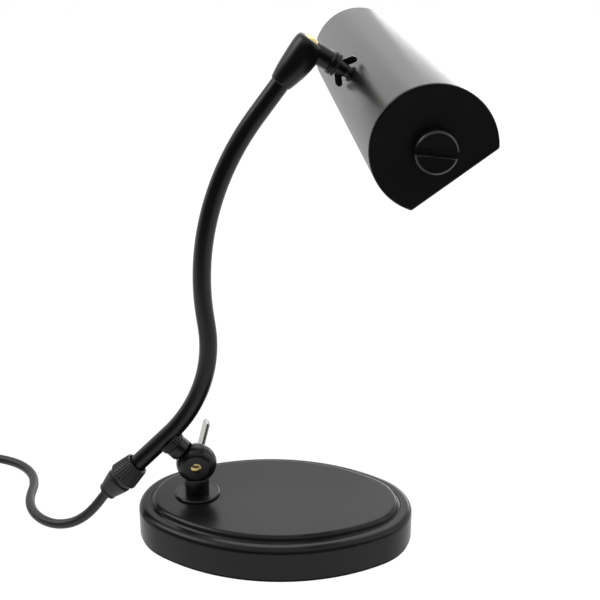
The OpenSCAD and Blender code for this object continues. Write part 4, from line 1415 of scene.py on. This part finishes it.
@dataclass
class Arm:
    """The arm: the moving knuckle with its boss, the knurled collar, the swan-neck tube and the tail nut."""

    hinge: Hinge = field(default_factory=Hinge)
    tube_d: float = 12.7
    root_at: float = 6.0
    collar_d: float = 18.6
    collar_top: float = 28.05
    knurls: int = 30
    knurl_depth: float = 0.5
    collar_rib: float = 0.7
    nut_l: float = 15.4
    nut_d: float = 18.0
    flare_d: float = 22.6
    nut_rib: float = 0.75
    bell_at: float = 3.1
    relief_l: float = 17.3

    def build(self, frame: dict) -> None:
        """Makes every piece of the arm below the elbow."""
        self.knuckle()
        self.collar()
        line = PLANE.swan_neck()
        out = Vector(polar(PLANE.grip, PLANE.foot_dir))
        up = Vector(polar(PLANE.grip, PLANE.elbow_dir))
        path = [Vector((p.x, 0, p.y)) for p in (line[0] - out, *line, line[-1] + up)]
        mesh = Form().sweep(path, self.tube_d / 2, SMALL_ROUND).mesh("tube", PLANE.frame)
        piece("swan_neck_tube", mesh, [PARTS], Body.ARM, ["arm_tube"])
        dress_nodes(frame, STEEL, "arm_stud")
        self.tail()

    def knuckle(self) -> None:
        """The moving half of the knuckle and its boss with a chamfered shoulder."""
        hinge = self.hinge
        mesh = hinge.knuckle(hinge.bolt_d / 2 + hinge.play).mesh("arm_knuckle", PLANE.across(PLANE.hinge))
        radius, low, top = hinge.boss_d / 2, hinge.knuckle_d / 2 + 0.35, hinge.boss_top
        corners = [
            (0, low, 0), (radius - 0.3, low, 0.2), (radius, low + 0.5, 0.3), (radius, top - 0.5, 0.4),
            (radius - 0.5, top, 0.3), (0, top, 0),
        ]
        boss = Form().lathe(rounded(corners, 4)).join(self.bridge(radius))
        merge(mesh, boss.mesh("boss", PLANE.along(PLANE.hinge, PLANE.boss_dir)))
        piece("arm_knuckle_body", mesh, [PARTS], Body.ARM, ["arm_knuckle"])

    def bridge(self, radius: float) -> Form:
        """The boss's root behind the joint's plane, where it grows out of the moving half only."""
        start = math.degrees(math.asin((self.hinge.friction_t / 2 + 0.3) / radius))
        outline = arc(radius - 0.02, start, 180 - start, 48)
        return Form().loft([raised(outline, height) for height in (self.root_at, self.hinge.knuckle_d / 2 + 0.6)])

    def knurl(self, title: str, finish: Finish, place: Matrix, **sizes: float) -> None:
        """Ribs round a piece of the arm."""
        RibRing().make(title, finish, place, Body.ARM, count=self.knurls, **sizes)

    def collar(self) -> None:
        """The knurled collar between the boss and the tube."""
        place = PLANE.along(PLANE.hinge, PLANE.boss_dir)
        low, top = self.hinge.boss_top, self.collar_top
        profile = box((0, self.collar_d / 2 - self.knurl_depth), (low, top), (0, 0.4, 0.4, 0), 4)
        turned("collar_core", profile, place, PARTS, Body.ARM, "arm_collar")
        middle = place @ shift(0, 0, (low + top) / 2)
        rib = self.collar_rib
        radius, length = self.collar_d / 2 - rib, top - low - 0.9
        self.knurl("collar_knurl", PARTS, middle, radius=radius, length=length, width=rib, lean=0.0)

    def tail(self) -> None:
        """The flared tail nut with its ribs, and the strain relief that leaves it."""
        place = PLANE.along(PLANE.tail_end, PLANE.foot_dir + 180)
        flare, end = self.flare_d / 2, self.nut_l
        small, large = self.nut_d / 2 - self.knurl_depth, flare - self.knurl_depth
        bore, mouth = self.tube_d / 2 + 0.1, self.tube_d / 2 + 1.2
        corners = [
            (bore, 1.6, 0), (mouth, 1.6, 0.1), (mouth, 0, 0.3), (small, 0, 0.5), (large, end - 1.3, 0.2),
            (flare, end - 1.2, 0.3), (flare - 0.5, end, 0.4), (8.5, end, 0.1), (8.5, end - 3, 0), (bore, end - 3, 0),
        ]
        turned("tail_nut_core", rounded(corners, 4, True), place, NUT_COAT, Body.ARM, "tail_nut", loop=True)
        middle = place @ shift(0, 0, (end - 1.0) / 2)
        radius = (small + large) / 2 + self.knurl_depth - self.nut_rib
        lean = math.atan2(large - small, end - 1.3)
        self.knurl("tail_nut_knurl", NUT_COAT, middle, radius=radius, length=end - 1.6, width=self.nut_rib, lean=lean)
        self.relief(place)

    def relief(self, place: Matrix) -> None:
        """The strain relief: a cuff in the nut, a bell and a tapered stem with a groove near its end."""
        end, cuff, bell, stem = self.nut_l, 8.2, self.nut_l + self.bell_at, self.nut_l + self.relief_l
        corners = [
            (0, end - 5, 0), (cuff, end - 5, 0.3), (cuff, end + 0.2, 0.2), (9.4, end + 0.4, 0.3),
            (9.4, bell - 0.9, 0.3), (8.9, bell - 0.7, 0.2), (8.9, bell - 0.2, 0.2), (10, bell, 0.6),
            (9.6, bell + 2.2, 2.0), (8.3, bell + 7, 4), (7.1, stem - 3.4, 1.0), (6.5, stem - 2.9, 0.3),
            (6.5, stem - 2.3, 0.3), (6.95, stem - 2.0, 0.4), (6.7, stem - 0.4, 0.8), (5.2, stem, 0.7),
            (3.9, stem - 0.6, 0.3), (0, stem - 0.6, 0),
        ]
        turned("relief_bell", rounded(corners, 4), place, RELIEF_PLASTIC, Body.ARM, "strain_relief")


# ---------------------------------------------------------------- elbow and neck


@dataclass
class Elbow:
    """The turned elbow on the tube's end, its brass plug, and the neck that carries the shade."""

    length: float = 34.0
    wide_d: float = 21.2
    waist: float = 0.72
    swell: float = 0.8
    foot_d: float = 14.2
    end_d: float = 13.4
    plug_d: float = 11.4
    plug_h: float = 2.0
    plug_seat: float = 3.0
    neck_d: float = 13.4
    neck_from: float = 5.0
    ring_at: float = 17.4
    ring_d: float = 15.8
    ring_t: float = 3.2
    stem_r: float = 4.05
    washer_t: float = 1.1
    crown_gap: float = 10.3
    nut_gap: float = 0.02
    crown_r: float = 5.4
    crown_h: float = 1.2
    crown_bore: float = 4.1

    def build(self, frame: dict) -> None:
        """Makes the elbow, the plug, the neck, both washers, the wing nut and the crown nut."""
        place = PLANE.along(PLANE.elbow, PLANE.elbow_dir)
        form = Form().lathe(self.profile())
        form.points = [Vector((p.x + self.lean(p.z), p.y, p.z)) for p in form.points]
        piece("elbow_body", form.mesh("elbow", place), [PARTS], Body.ARM, ["elbow"])
        rim, length = self.plug_d / 2, self.length
        dome = [(r, length + h) for r, h in Hinge.dome(rim, self.plug_h)]
        seat = length - self.plug_seat
        plug = [(0, seat), (rim - 0.2, seat), (rim - 0.1, length), *dome]
        turned("elbow_brass_plug", plug, place, BRASS, Body.ARM, "elbow_plug", sides=MEDIUM_ROUND)
        self.neck()
        dress_nodes(frame, DARK_STEEL, "shade_stem")

    def profile(self) -> list[Flat]:
        """The turned body's profile: it swells from the tube to the waist and closes round the plug."""
        foot, wide, end, length = self.foot_d / 2, self.wide_d / 2, self.end_d / 2, self.length
        waist = (wide, self.waist * length)
        low = self.curve((foot, 0), (foot + 1.4, 0.15 * length), (0.97 * wide, 0.38 * length), waist)
        high = self.curve(waist, (wide, 0.9 * length), (0.92 * wide, length), (end, length))
        return [(0, 0.0), (foot - 0.25, 0.0), (foot, 0.25), *low[1:], *high[1:], (0, length)]

    def lean(self, height: float) -> float:
        """How far the body swells towards the neck at a height: most a little past its middle, none at either end."""
        return self.swell * math.sin(math.pi * min(1.0, max(0.0, height / self.length)) ** 1.3)

    @staticmethod
    def curve(*handles: Flat, steps: int = 20) -> list[Flat]:
        """Points of a Bezier curve on four handles."""
        points = [Vector(p) for p in handles]
        found = []
        for i in range(steps + 1):
            t = i / steps
            shares = ((1 - t) ** 3, 3 * t * (1 - t) ** 2, 3 * t * t * (1 - t), t ** 3)
            point = sum((share * p for share, p in zip(shares, points)), Vector((0, 0)))
            found.append((point.x, point.y))
        return found

    def neck(self) -> None:
        """The neck and what sits on it, from the elbow to the shade."""
        bare, ring, stem = self.neck_d / 2, self.ring_d / 2, self.stem_r
        low, at, t, line = self.neck_from, self.ring_at, self.ring_t, PLANE.on_neck(0)
        corners = [
            (stem, low, 0), (bare, low, 0), (bare, at - 1.0, 0.6), (ring - 1.2, at - 0.2, 0.3), (ring, at + 0.4, 0.5),
            (ring, at + t * 0.42, 0.1), (ring - 0.45, at + t * 0.5, 0.1), (ring, at + t * 0.58, 0.1),
            (ring, at + t, 0.4), (stem, at + t, 0),
        ]
        turned("neck_and_ring", rounded(corners, 4, True), line, PARTS, Body.ARM, "shade_neck", loop=True)
        level = at + t
        for title, node, radius in (
            ("lower_washer", "neck_washer_lower", ring - 0.5),
            ("upper_washer", "neck_washer_upper", ring),
        ):
            outline = box((stem, radius), (level, level + self.washer_t), (0.1, 0.4, 0.4, 0.1), 3)
            turned(title, outline, line, DARK_STEEL, Body.ARM, node, loop=True, sides=MEDIUM_ROUND)
            level += self.washer_t
        wing_at = level + self.nut_gap
        nut = WingNut(stem, hub_r=5.6, hub_h=6.4, reach=10.7, height=8.6, thickness=4.2, tip=0.22)
        mesh = nut.form().mesh("wing", PLANE.on_neck(wing_at))
        piece("shade_wing_nut_body", mesh, [PARTS], Body.SHADE_WING, ["shade_wing_nut"])
        crown = wing_at + self.crown_gap
        outline = box((self.crown_bore, self.crown_r), (crown - self.crown_h, crown + 0.8), (0.2, 0.6, 0, 0), 4)
        turned("crown_nut", outline, line, PARTS, Body.SHADE, "shade_crown_nut", loop=True, sides=MEDIUM_ROUND)


# ---------------------------------------------------------------- shade


@dataclass
class Shade:
    """The long shade: a rolled shell open along one side, two end plates, and what lies inside."""

    diameter: float = 72.0
    length: float = 348.5
    near: float = 134.8
    wall: float = 1.0
    open_dir: float = -54.0
    open_at: float = 21.0
    hem: float = 4.0
    hem_round: float = 0.5
    plate_t: float = 1.6
    plate_ease: float = 1.2
    flange: float = 6.0
    steps: int = 120
    chord_steps: int = 24
    lip_steps: int = 4

    @property
    def axis(self) -> Matrix:
        """The frame on the shade's axis from its near end inwards, its opening on +x."""
        return PLANE.across(PLANE.shade, -self.near) @ spin(-self.open_dir, "Z")

    def build(self, frame: dict) -> None:
        """Makes the shell and the plates and dresses the hidden fastenings."""
        self.shell()
        self.plate("near_plate", "shade_plate_near", Matrix())
        self.plate("far_plate", "shade_plate_far", shift(0, 0, self.length) @ INWARDS)
        dress_nodes(frame, STEEL, "shade_inner_washer", "shade_inner_nut", "holder_bracket")

    def section(self) -> tuple[list[Flat], int]:
        """The shell's section as one outline, and how many of its first points are outside."""
        outer, inner, edge = self.diameter / 2, self.diameter / 2 - self.wall, self.open_at
        half = math.degrees(math.acos(edge / outer))
        inside = math.degrees(math.acos((edge - self.wall) / inner))
        across = outer * math.sin(math.radians(half))
        skin = arc(outer, half, 360 - half, self.steps)
        lining = arc(inner, 360 - inside, inside, self.steps)
        tip, soft = across - self.hem, self.hem_round
        low = [(*skin[-1], 0), (edge, -tip, soft), (edge - self.wall, -tip, soft), (*lining[0], 0)]
        high = [(*lining[-1], 0), (edge - self.wall, tip, soft), (edge, tip, soft), (*skin[0], 0)]
        low, high = (rounded(lip, self.lip_steps)[1:-1] for lip in (low, high))
        return [*skin, *low, *lining, *high], len(skin) + len(low) - 1

    def shell(self) -> None:
        """The rolled shell, black outside and white inside."""
        outline, outside = self.section()
        count = len(outline)
        form = Form()
        form.points = [*raised(outline, self.plate_t), *raised(outline, self.length - self.plate_t)]
        for i in range(count):
            j = (i + 1) % count
            form.face((i, j, count + j, count + i), 0 if i < outside or i >= count - self.lip_steps else 1)
        form.face(range(count))
        form.face(range(count, 2 * count))
        mesh = form.mesh("shell", self.axis)
        piece("shade_body", mesh, [SHADE_COAT, SHADE_WHITE], Body.SHADE, ["shade_shell"])

    def ring(self, inset: float, height: float) -> list[Vector]:
        """The plate's outline set in by inset: a round cut off by the opening's plane, its corners eased."""
        radius, edge = self.diameter / 2 - inset, self.open_at - inset
        half = math.degrees(math.acos(edge / radius))
        bow = arc(radius, half + self.plate_ease, 360 - half - self.plate_ease, self.steps)
        reach = 0.985 * radius * math.sin(math.radians(half))
        chord = [(edge, -reach * (1 - 2 * i / self.chord_steps)) for i in range(self.chord_steps + 1)]
        return raised([*bow, *chord], height)

    def plate(self, title: str, node: str, place: Matrix) -> None:
        """An end plate with a rounded rim, and the flange that centres it inside the shell."""
        t, bead, seat = self.plate_t, self.plate_t / 2, self.wall + 0.1
        rim = [(bead - x, bead + y) for x, y in arc(bead, -90, 90, 10)]
        flange = [
            (seat, t - 0.2), (seat, t + self.flange), (seat + self.wall, t + self.flange), (seat + self.wall, t - 0.2),
        ]
        form = Form().loft([self.ring(*at) for at in ((2.4, 0.12), (1.5, 0.0), *rim, (2.4, t))])
        form.loft([self.ring(*at) for at in flange], loop=True)
        piece(title, form.mesh(title, self.axis @ place), [SHADE_COAT], Body.SHADE, [node])


@dataclass
class Lamp:
    """The switch, the lampholder and the bulb on the shade's axis."""

    shade: Shade = field(default_factory=Shade)
    knob_d: float = 24.5
    knob_h: float = 8.0
    knob_gap: float = 0.6
    slot_w: float = 3.7
    slot_depth: float = 2.6
    slot_turn: float = 7.0
    dimple_at: Flat = (-3.4, 0.1)
    dimple_scale: Spot = (0.75, 1.3, 0.4)
    holder_at: float = 24.0
    holder_l: float = 42.0
    holder_d: float = 33.0
    grip_at: float = 9.9
    grip_pitch: float = 8.4
    grips: int = 4
    bead: float = 1.6
    mouth_r: float = 13.9
    mouth_depth: float = 27.0
    bulb_d: float = 30.0
    bulb_l: float = 240.0
    bulb_gap: float = 1.0
    neck_l: float = 14.0
    cap_l: float = 25.0
    cap_r: float = 13.2
    thread_at: float = 7.0
    thread_pitch: float = 3.6
    thread_bead: float = 1.25
    threads: int = 5

    def place(self, inwards: float) -> Matrix:
        """The frame on the shade's axis at a distance inwards from the near end."""
        return PLANE.across(PLANE.shade, inwards - self.shade.near)

    def build(self, frame: dict) -> None:
        """Makes the knob, the holder, the cap and the glass, and dresses the switch."""
        self.knob()
        self.holder()
        self.bulb()
        for finish, title in ((PHENOLIC, "switch_housing"), (DARK_STEEL, "switch_nut"), (BRASS, "switch_shaft")):
            dress_nodes(frame, finish, title)

    def knob(self) -> None:
        """The turned switch knob with the slot across its face and a dimple in the slot."""
        radius, height = self.knob_d / 2, self.knob_h
        facing = self.place(-self.knob_gap) @ INWARDS
        corners = [
            (3.1, 4.6, 0), (3.1, 1.7, 0), (8.2, 1.7, 0.2), (8.2, 0, 0.2), (radius - 0.5, 0, 0.4), (radius, 0.6, 0.4),
            (radius, height - 1.4, 1.3), (radius - 1.3, height, 0.8), (radius - 4.5, height - 0.25, 2.0),
            (0, height - 0.6, 0),
        ]
        mesh = Form().lathe([(0, 4.6), *rounded(corners, 5)]).mesh("knob", facing)
        half, low = self.slot_w / 2, height - self.slot_depth
        lip = half + 0.9
        side = [(lip, height + 3, 0), (lip, height + 0.2, 0), (half, height - 0.8, 0.2), (half, low, 0.25)]
        floor = rounded([*((-y, z, r) for y, z, r in side), *reversed(side)], 3)
        rings = [[Vector((x, y, z)) for y, z in floor] for x in (-radius - 3, radius + 3)]
        dimple = Form().lathe([(0, -1.2), (0.9, -0.9), (1.2, 0), (0.9, 0.9), (0, 1.2)], sides=TINY_ROUND)
        dimple.moved(Matrix.Translation((*self.dimple_at, low)) @ Matrix.Diagonal((*self.dimple_scale, 1)))
        turn = facing @ spin(self.slot_turn, "Z")
        mesh = cut(mesh, Form().loft(rings).mesh("slot", turn))
        mesh = cut(mesh, dimple.mesh("dimple", turn))
        piece("knob_body", mesh, [PHENOLIC], Body.KNOB, ["switch_knob"])

    def holder(self) -> None:
        """The lampholder's sleeve, its rounded grip rings and its open mouth."""
        radius, end, mouth, bead = self.holder_d / 2, self.holder_l, self.mouth_r, self.bead
        bare, floor = radius - bead, end - self.mouth_depth
        sleeve = [
            (0, 0, 0), (bare - 0.8, 0, 0.4), (radius, 1.6, 0.5), (bare, 2.4, 0.4), (bare, end - 3.4, 0.4),
            (radius, end - 3.0, 0.5), (radius, end, 0.5), (mouth, end, 0.4), (mouth, floor, 0.2), (0, floor, 0),
        ]
        turned("holder_sleeve", rounded(sleeve, 4), self.place(self.holder_at), PHENOLIC, Body.SHADE, "lampholder")
        start = self.place(self.holder_at + self.grip_at)
        rings = {"count": self.grips, "pitch": self.grip_pitch, "radius": radius - bead, "bead": bead}
        RingStack().make("holder_grip_rings", PHENOLIC, start, Body.SHADE, **rings)

    def bulb(self) -> None:
        """The tubular bulb: a threaded cap and an opal glass with a drawn-in neck and a round end."""
        glass_at = self.holder_at + self.holder_l + self.bulb_gap
        radius, cap_r, bead = self.bulb_d / 2, self.cap_r, self.thread_bead
        wall = cap_r - 0.8
        cap = [(0, 0, 0), (5, 0, 0.3), (6, 2.4, 0.4), (wall, 5, 1), (wall, self.cap_l, 0), (0, self.cap_l, 0)]
        place = self.place(glass_at - self.cap_l)
        turned("bulb_cap_body", rounded(cap, 4), place, CAP_METAL, Body.SHADE, "bulb_cap", sides=MEDIUM_ROUND)
        start = place @ shift(0, 0, self.thread_at)
        rings = {"count": self.threads, "pitch": self.thread_pitch, "radius": cap_r - bead, "bead": bead}
        RingStack().make("bulb_cap_thread", CAP_METAL, start, Body.SHADE, **rings)
        neck, end = self.neck_l, self.bulb_l - radius
        glass = [(0, 0), (cap_r - 0.6, 0), (cap_r - 0.4, 2), (cap_r + 0.4, 6.5), (radius - 0.2, 10.5), (radius, neck)]
        glass += [(radius, neck + (end - neck) * i / 6) for i in range(1, 6)]
        glass += [(x, end + y) for x, y in arc(radius, 0, 90, 24)[:-1]]
        glass += [(0, self.bulb_l)]
        turned("bulb_envelope", glass, self.place(glass_at), OPAL, Body.SHADE, "bulb_glass", sides=MEDIUM_ROUND)


# ---------------------------------------------------------------- studio


@dataclass(frozen=True)
class SoftLamp:
    """An area lamp: its place and target in metres, width, watts, and height where it is a strip."""

    title: str
    place: Spot
    target: Spot
    width: float
    power: float
    height: float = 0.0

    def hang(self) -> None:
        """Hangs the lamp."""
        data = bpy.data.lights.new(self.title, "AREA")
        data.shape = "RECTANGLE" if self.height else "SQUARE"
        data.size = self.width
        if self.height:
            data.size_y = self.height
        data.energy = self.power
        made = linked(self.title, data)
        made.location = self.place
        made.rotation_euler = (Vector(self.target) - Vector(self.place)).to_track_quat("-Z", "Y").to_euler()


@dataclass
class Studio:
    """The camera at the photograph's view, the pale floor, the backdrop light and the soft lamps.

    Places are in metres, tilt and pan in degrees. A pair gives the limits of a smooth step: in_front over the
    floor's y, the others over a world direction's y (behind) or z (fall, above).
    """

    place: Spot = (0.06793, -0.72474, 0.45918)
    lens: float = 68.5
    sensor: float = 36.0
    tilt: float = 69.17
    pan: float = 3.916
    floor_size: float = 6.0
    floor_colour: Colour = (0.8, 0.8, 0.8)
    floor_white: float = 1.12
    floor_glow: float = 0.03
    floor_share: float = 0.88
    in_front: Flat = (-0.62, -0.3)
    behind: Flat = (-0.3, 0.15)
    fall: Flat = (0.08, 0.22)
    fall_by: float = -0.04
    above: Flat = (0.45, 0.85)
    above_share: float = 0.8
    world_light: float = 0.32
    world_least: float = 0.03
    lamps: tuple[SoftLamp, ...] = (
        SoftLamp("key_lamp", (-1.2, -0.1, 1.4), (0, 0, 0.15), 0.9, 9.0),
        SoftLamp("fill_lamp", (1.5, -0.3, 1.0), (0, 0, 0.15), 1.2, 4.0),
        SoftLamp("back_lamp", (0.2, 1.4, 1.6), (0, 0, 0.2), 1.4, 8.0),
        SoftLamp("strip_lamp", (0.62, 1.6, 0.31), (0.62, 0, 0.31), 1.04, 4.9, 0.4),
    )

    def camera(self) -> None:
        """Sets up the camera."""
        data = bpy.data.cameras.new("camera")
        data.sensor_width = self.sensor
        data.lens = self.lens
        data.clip_start = 0.01
        made = linked("camera", data)
        made.location = self.place
        made.rotation_euler = (math.radians(self.tilt), 0, math.radians(self.pan))
        bpy.context.scene.camera = made

    def build(self) -> None:
        """Lays the floor, lights the world and hangs the lamps."""
        self.floor()
        self.world()
        for lamp in self.lamps:
            lamp.hang()
        bpy.context.scene.view_settings.view_transform = "Standard"

    def floor(self) -> None:
        """A plain white floor that keeps the shadow but shows as the backdrop's white."""
        half = self.floor_size / 2
        mesh = bpy.data.meshes.new("floor")
        mesh.from_pydata([(-half, -half, 0), (half, -half, 0), (half, half, 0), (-half, half, 0)], [], [(0, 1, 2, 3)])
        made = linked("floor", mesh)
        material = bpy.data.materials.new("pale_floor")
        material.use_nodes = True
        material.node_tree.nodes.clear()
        wiring = Wiring(material.node_tree)
        way = wiring.add("ShaderNodeSeparateXYZ", {0: wiring.place()}).outputs
        in_front = wiring.ramp(way["Y"], *self.in_front)
        seen, mirrored = self.seen(wiring)
        white = wiring.most(wiring.times(seen, self.floor_white), wiring.most(in_front, self.floor_glow))
        matt = wiring.add("ShaderNodeBsdfDiffuse", {"Color": rgba(self.floor_colour)}).outputs[0]
        glow = wiring.add("ShaderNodeEmission", {"Color": rgba((1, 1, 1)), "Strength": white}).outputs[0]
        share = wiring.times(wiring.most(seen, mirrored), self.floor_share)
        both = wiring.add("ShaderNodeMixShader", {0: share, 1: matt, 2: glow})
        wiring.add("ShaderNodeOutputMaterial", {"Surface": both.outputs[0]})
        mesh.materials.append(material)

    @staticmethod
    def seen(wiring: Wiring) -> tuple[Socket, Socket]:
        """One for rays from the camera or through glass, and one for rays that a surface mirrors."""
        rays = wiring.add("ShaderNodeLightPath").outputs
        return wiring.most(rays["Is Camera Ray"], rays["Is Transmission Ray"]), rays["Is Glossy Ray"]

    def world(self) -> None:
        """White where it is seen; mirrored, white behind and above and dark on the camera's side; dimmer as light."""
        world = bpy.data.worlds.new("studio")
        world.use_nodes = True
        world.node_tree.nodes.clear()
        wiring = Wiring(world.node_tree)
        way = wiring.add("ShaderNodeSeparateXYZ", {0: wiring.add("ShaderNodeTexCoord").outputs["Generated"]}).outputs
        fall = wiring.join("MULTIPLY_ADD", wiring.ramp(way["Z"], *self.fall), self.fall_by, 1.0)
        behind = wiring.times(wiring.ramp(way["Y"], *self.behind), fall)
        above = wiring.times(wiring.ramp(way["Z"], *self.above), self.above_share)
        direct, mirrored = self.seen(wiring)
        seen = wiring.most(direct, wiring.times(mirrored, wiring.most(behind, above)))
        diffuse = wiring.add("ShaderNodeLightPath").outputs["Is Diffuse Ray"]
        lit = wiring.join("MULTIPLY_ADD", diffuse, self.world_light, self.world_least)
        dim, white = (
            wiring.add("ShaderNodeBackground", {"Color": rgba((1, 1, 1)), "Strength": strength}).outputs[0]
            for strength in (lit, 1.0)
        )
        both = wiring.add("ShaderNodeMixShader", {0: seen, 1: dim, 2: white})
        wiring.add("ShaderNodeOutputWorld", {"Surface": both.outputs[0]})
        bpy.context.scene.world = world


def main() -> None:
    """Builds the lamp and its studio around the frame."""
    logging.basicConfig(level=logging.INFO, format="%(name)s %(message)s")
    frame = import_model()
    studio = Studio()
    studio.camera()
    Cord().build()
    for assembly in (Base(), Hinge(), Arm(), Elbow(), Shade(), Lamp()):
        assembly.build(frame)
        LOG.info("%s is done", type(assembly).__name__)
    studio.build()


if __name__ == "__main__":
    main()
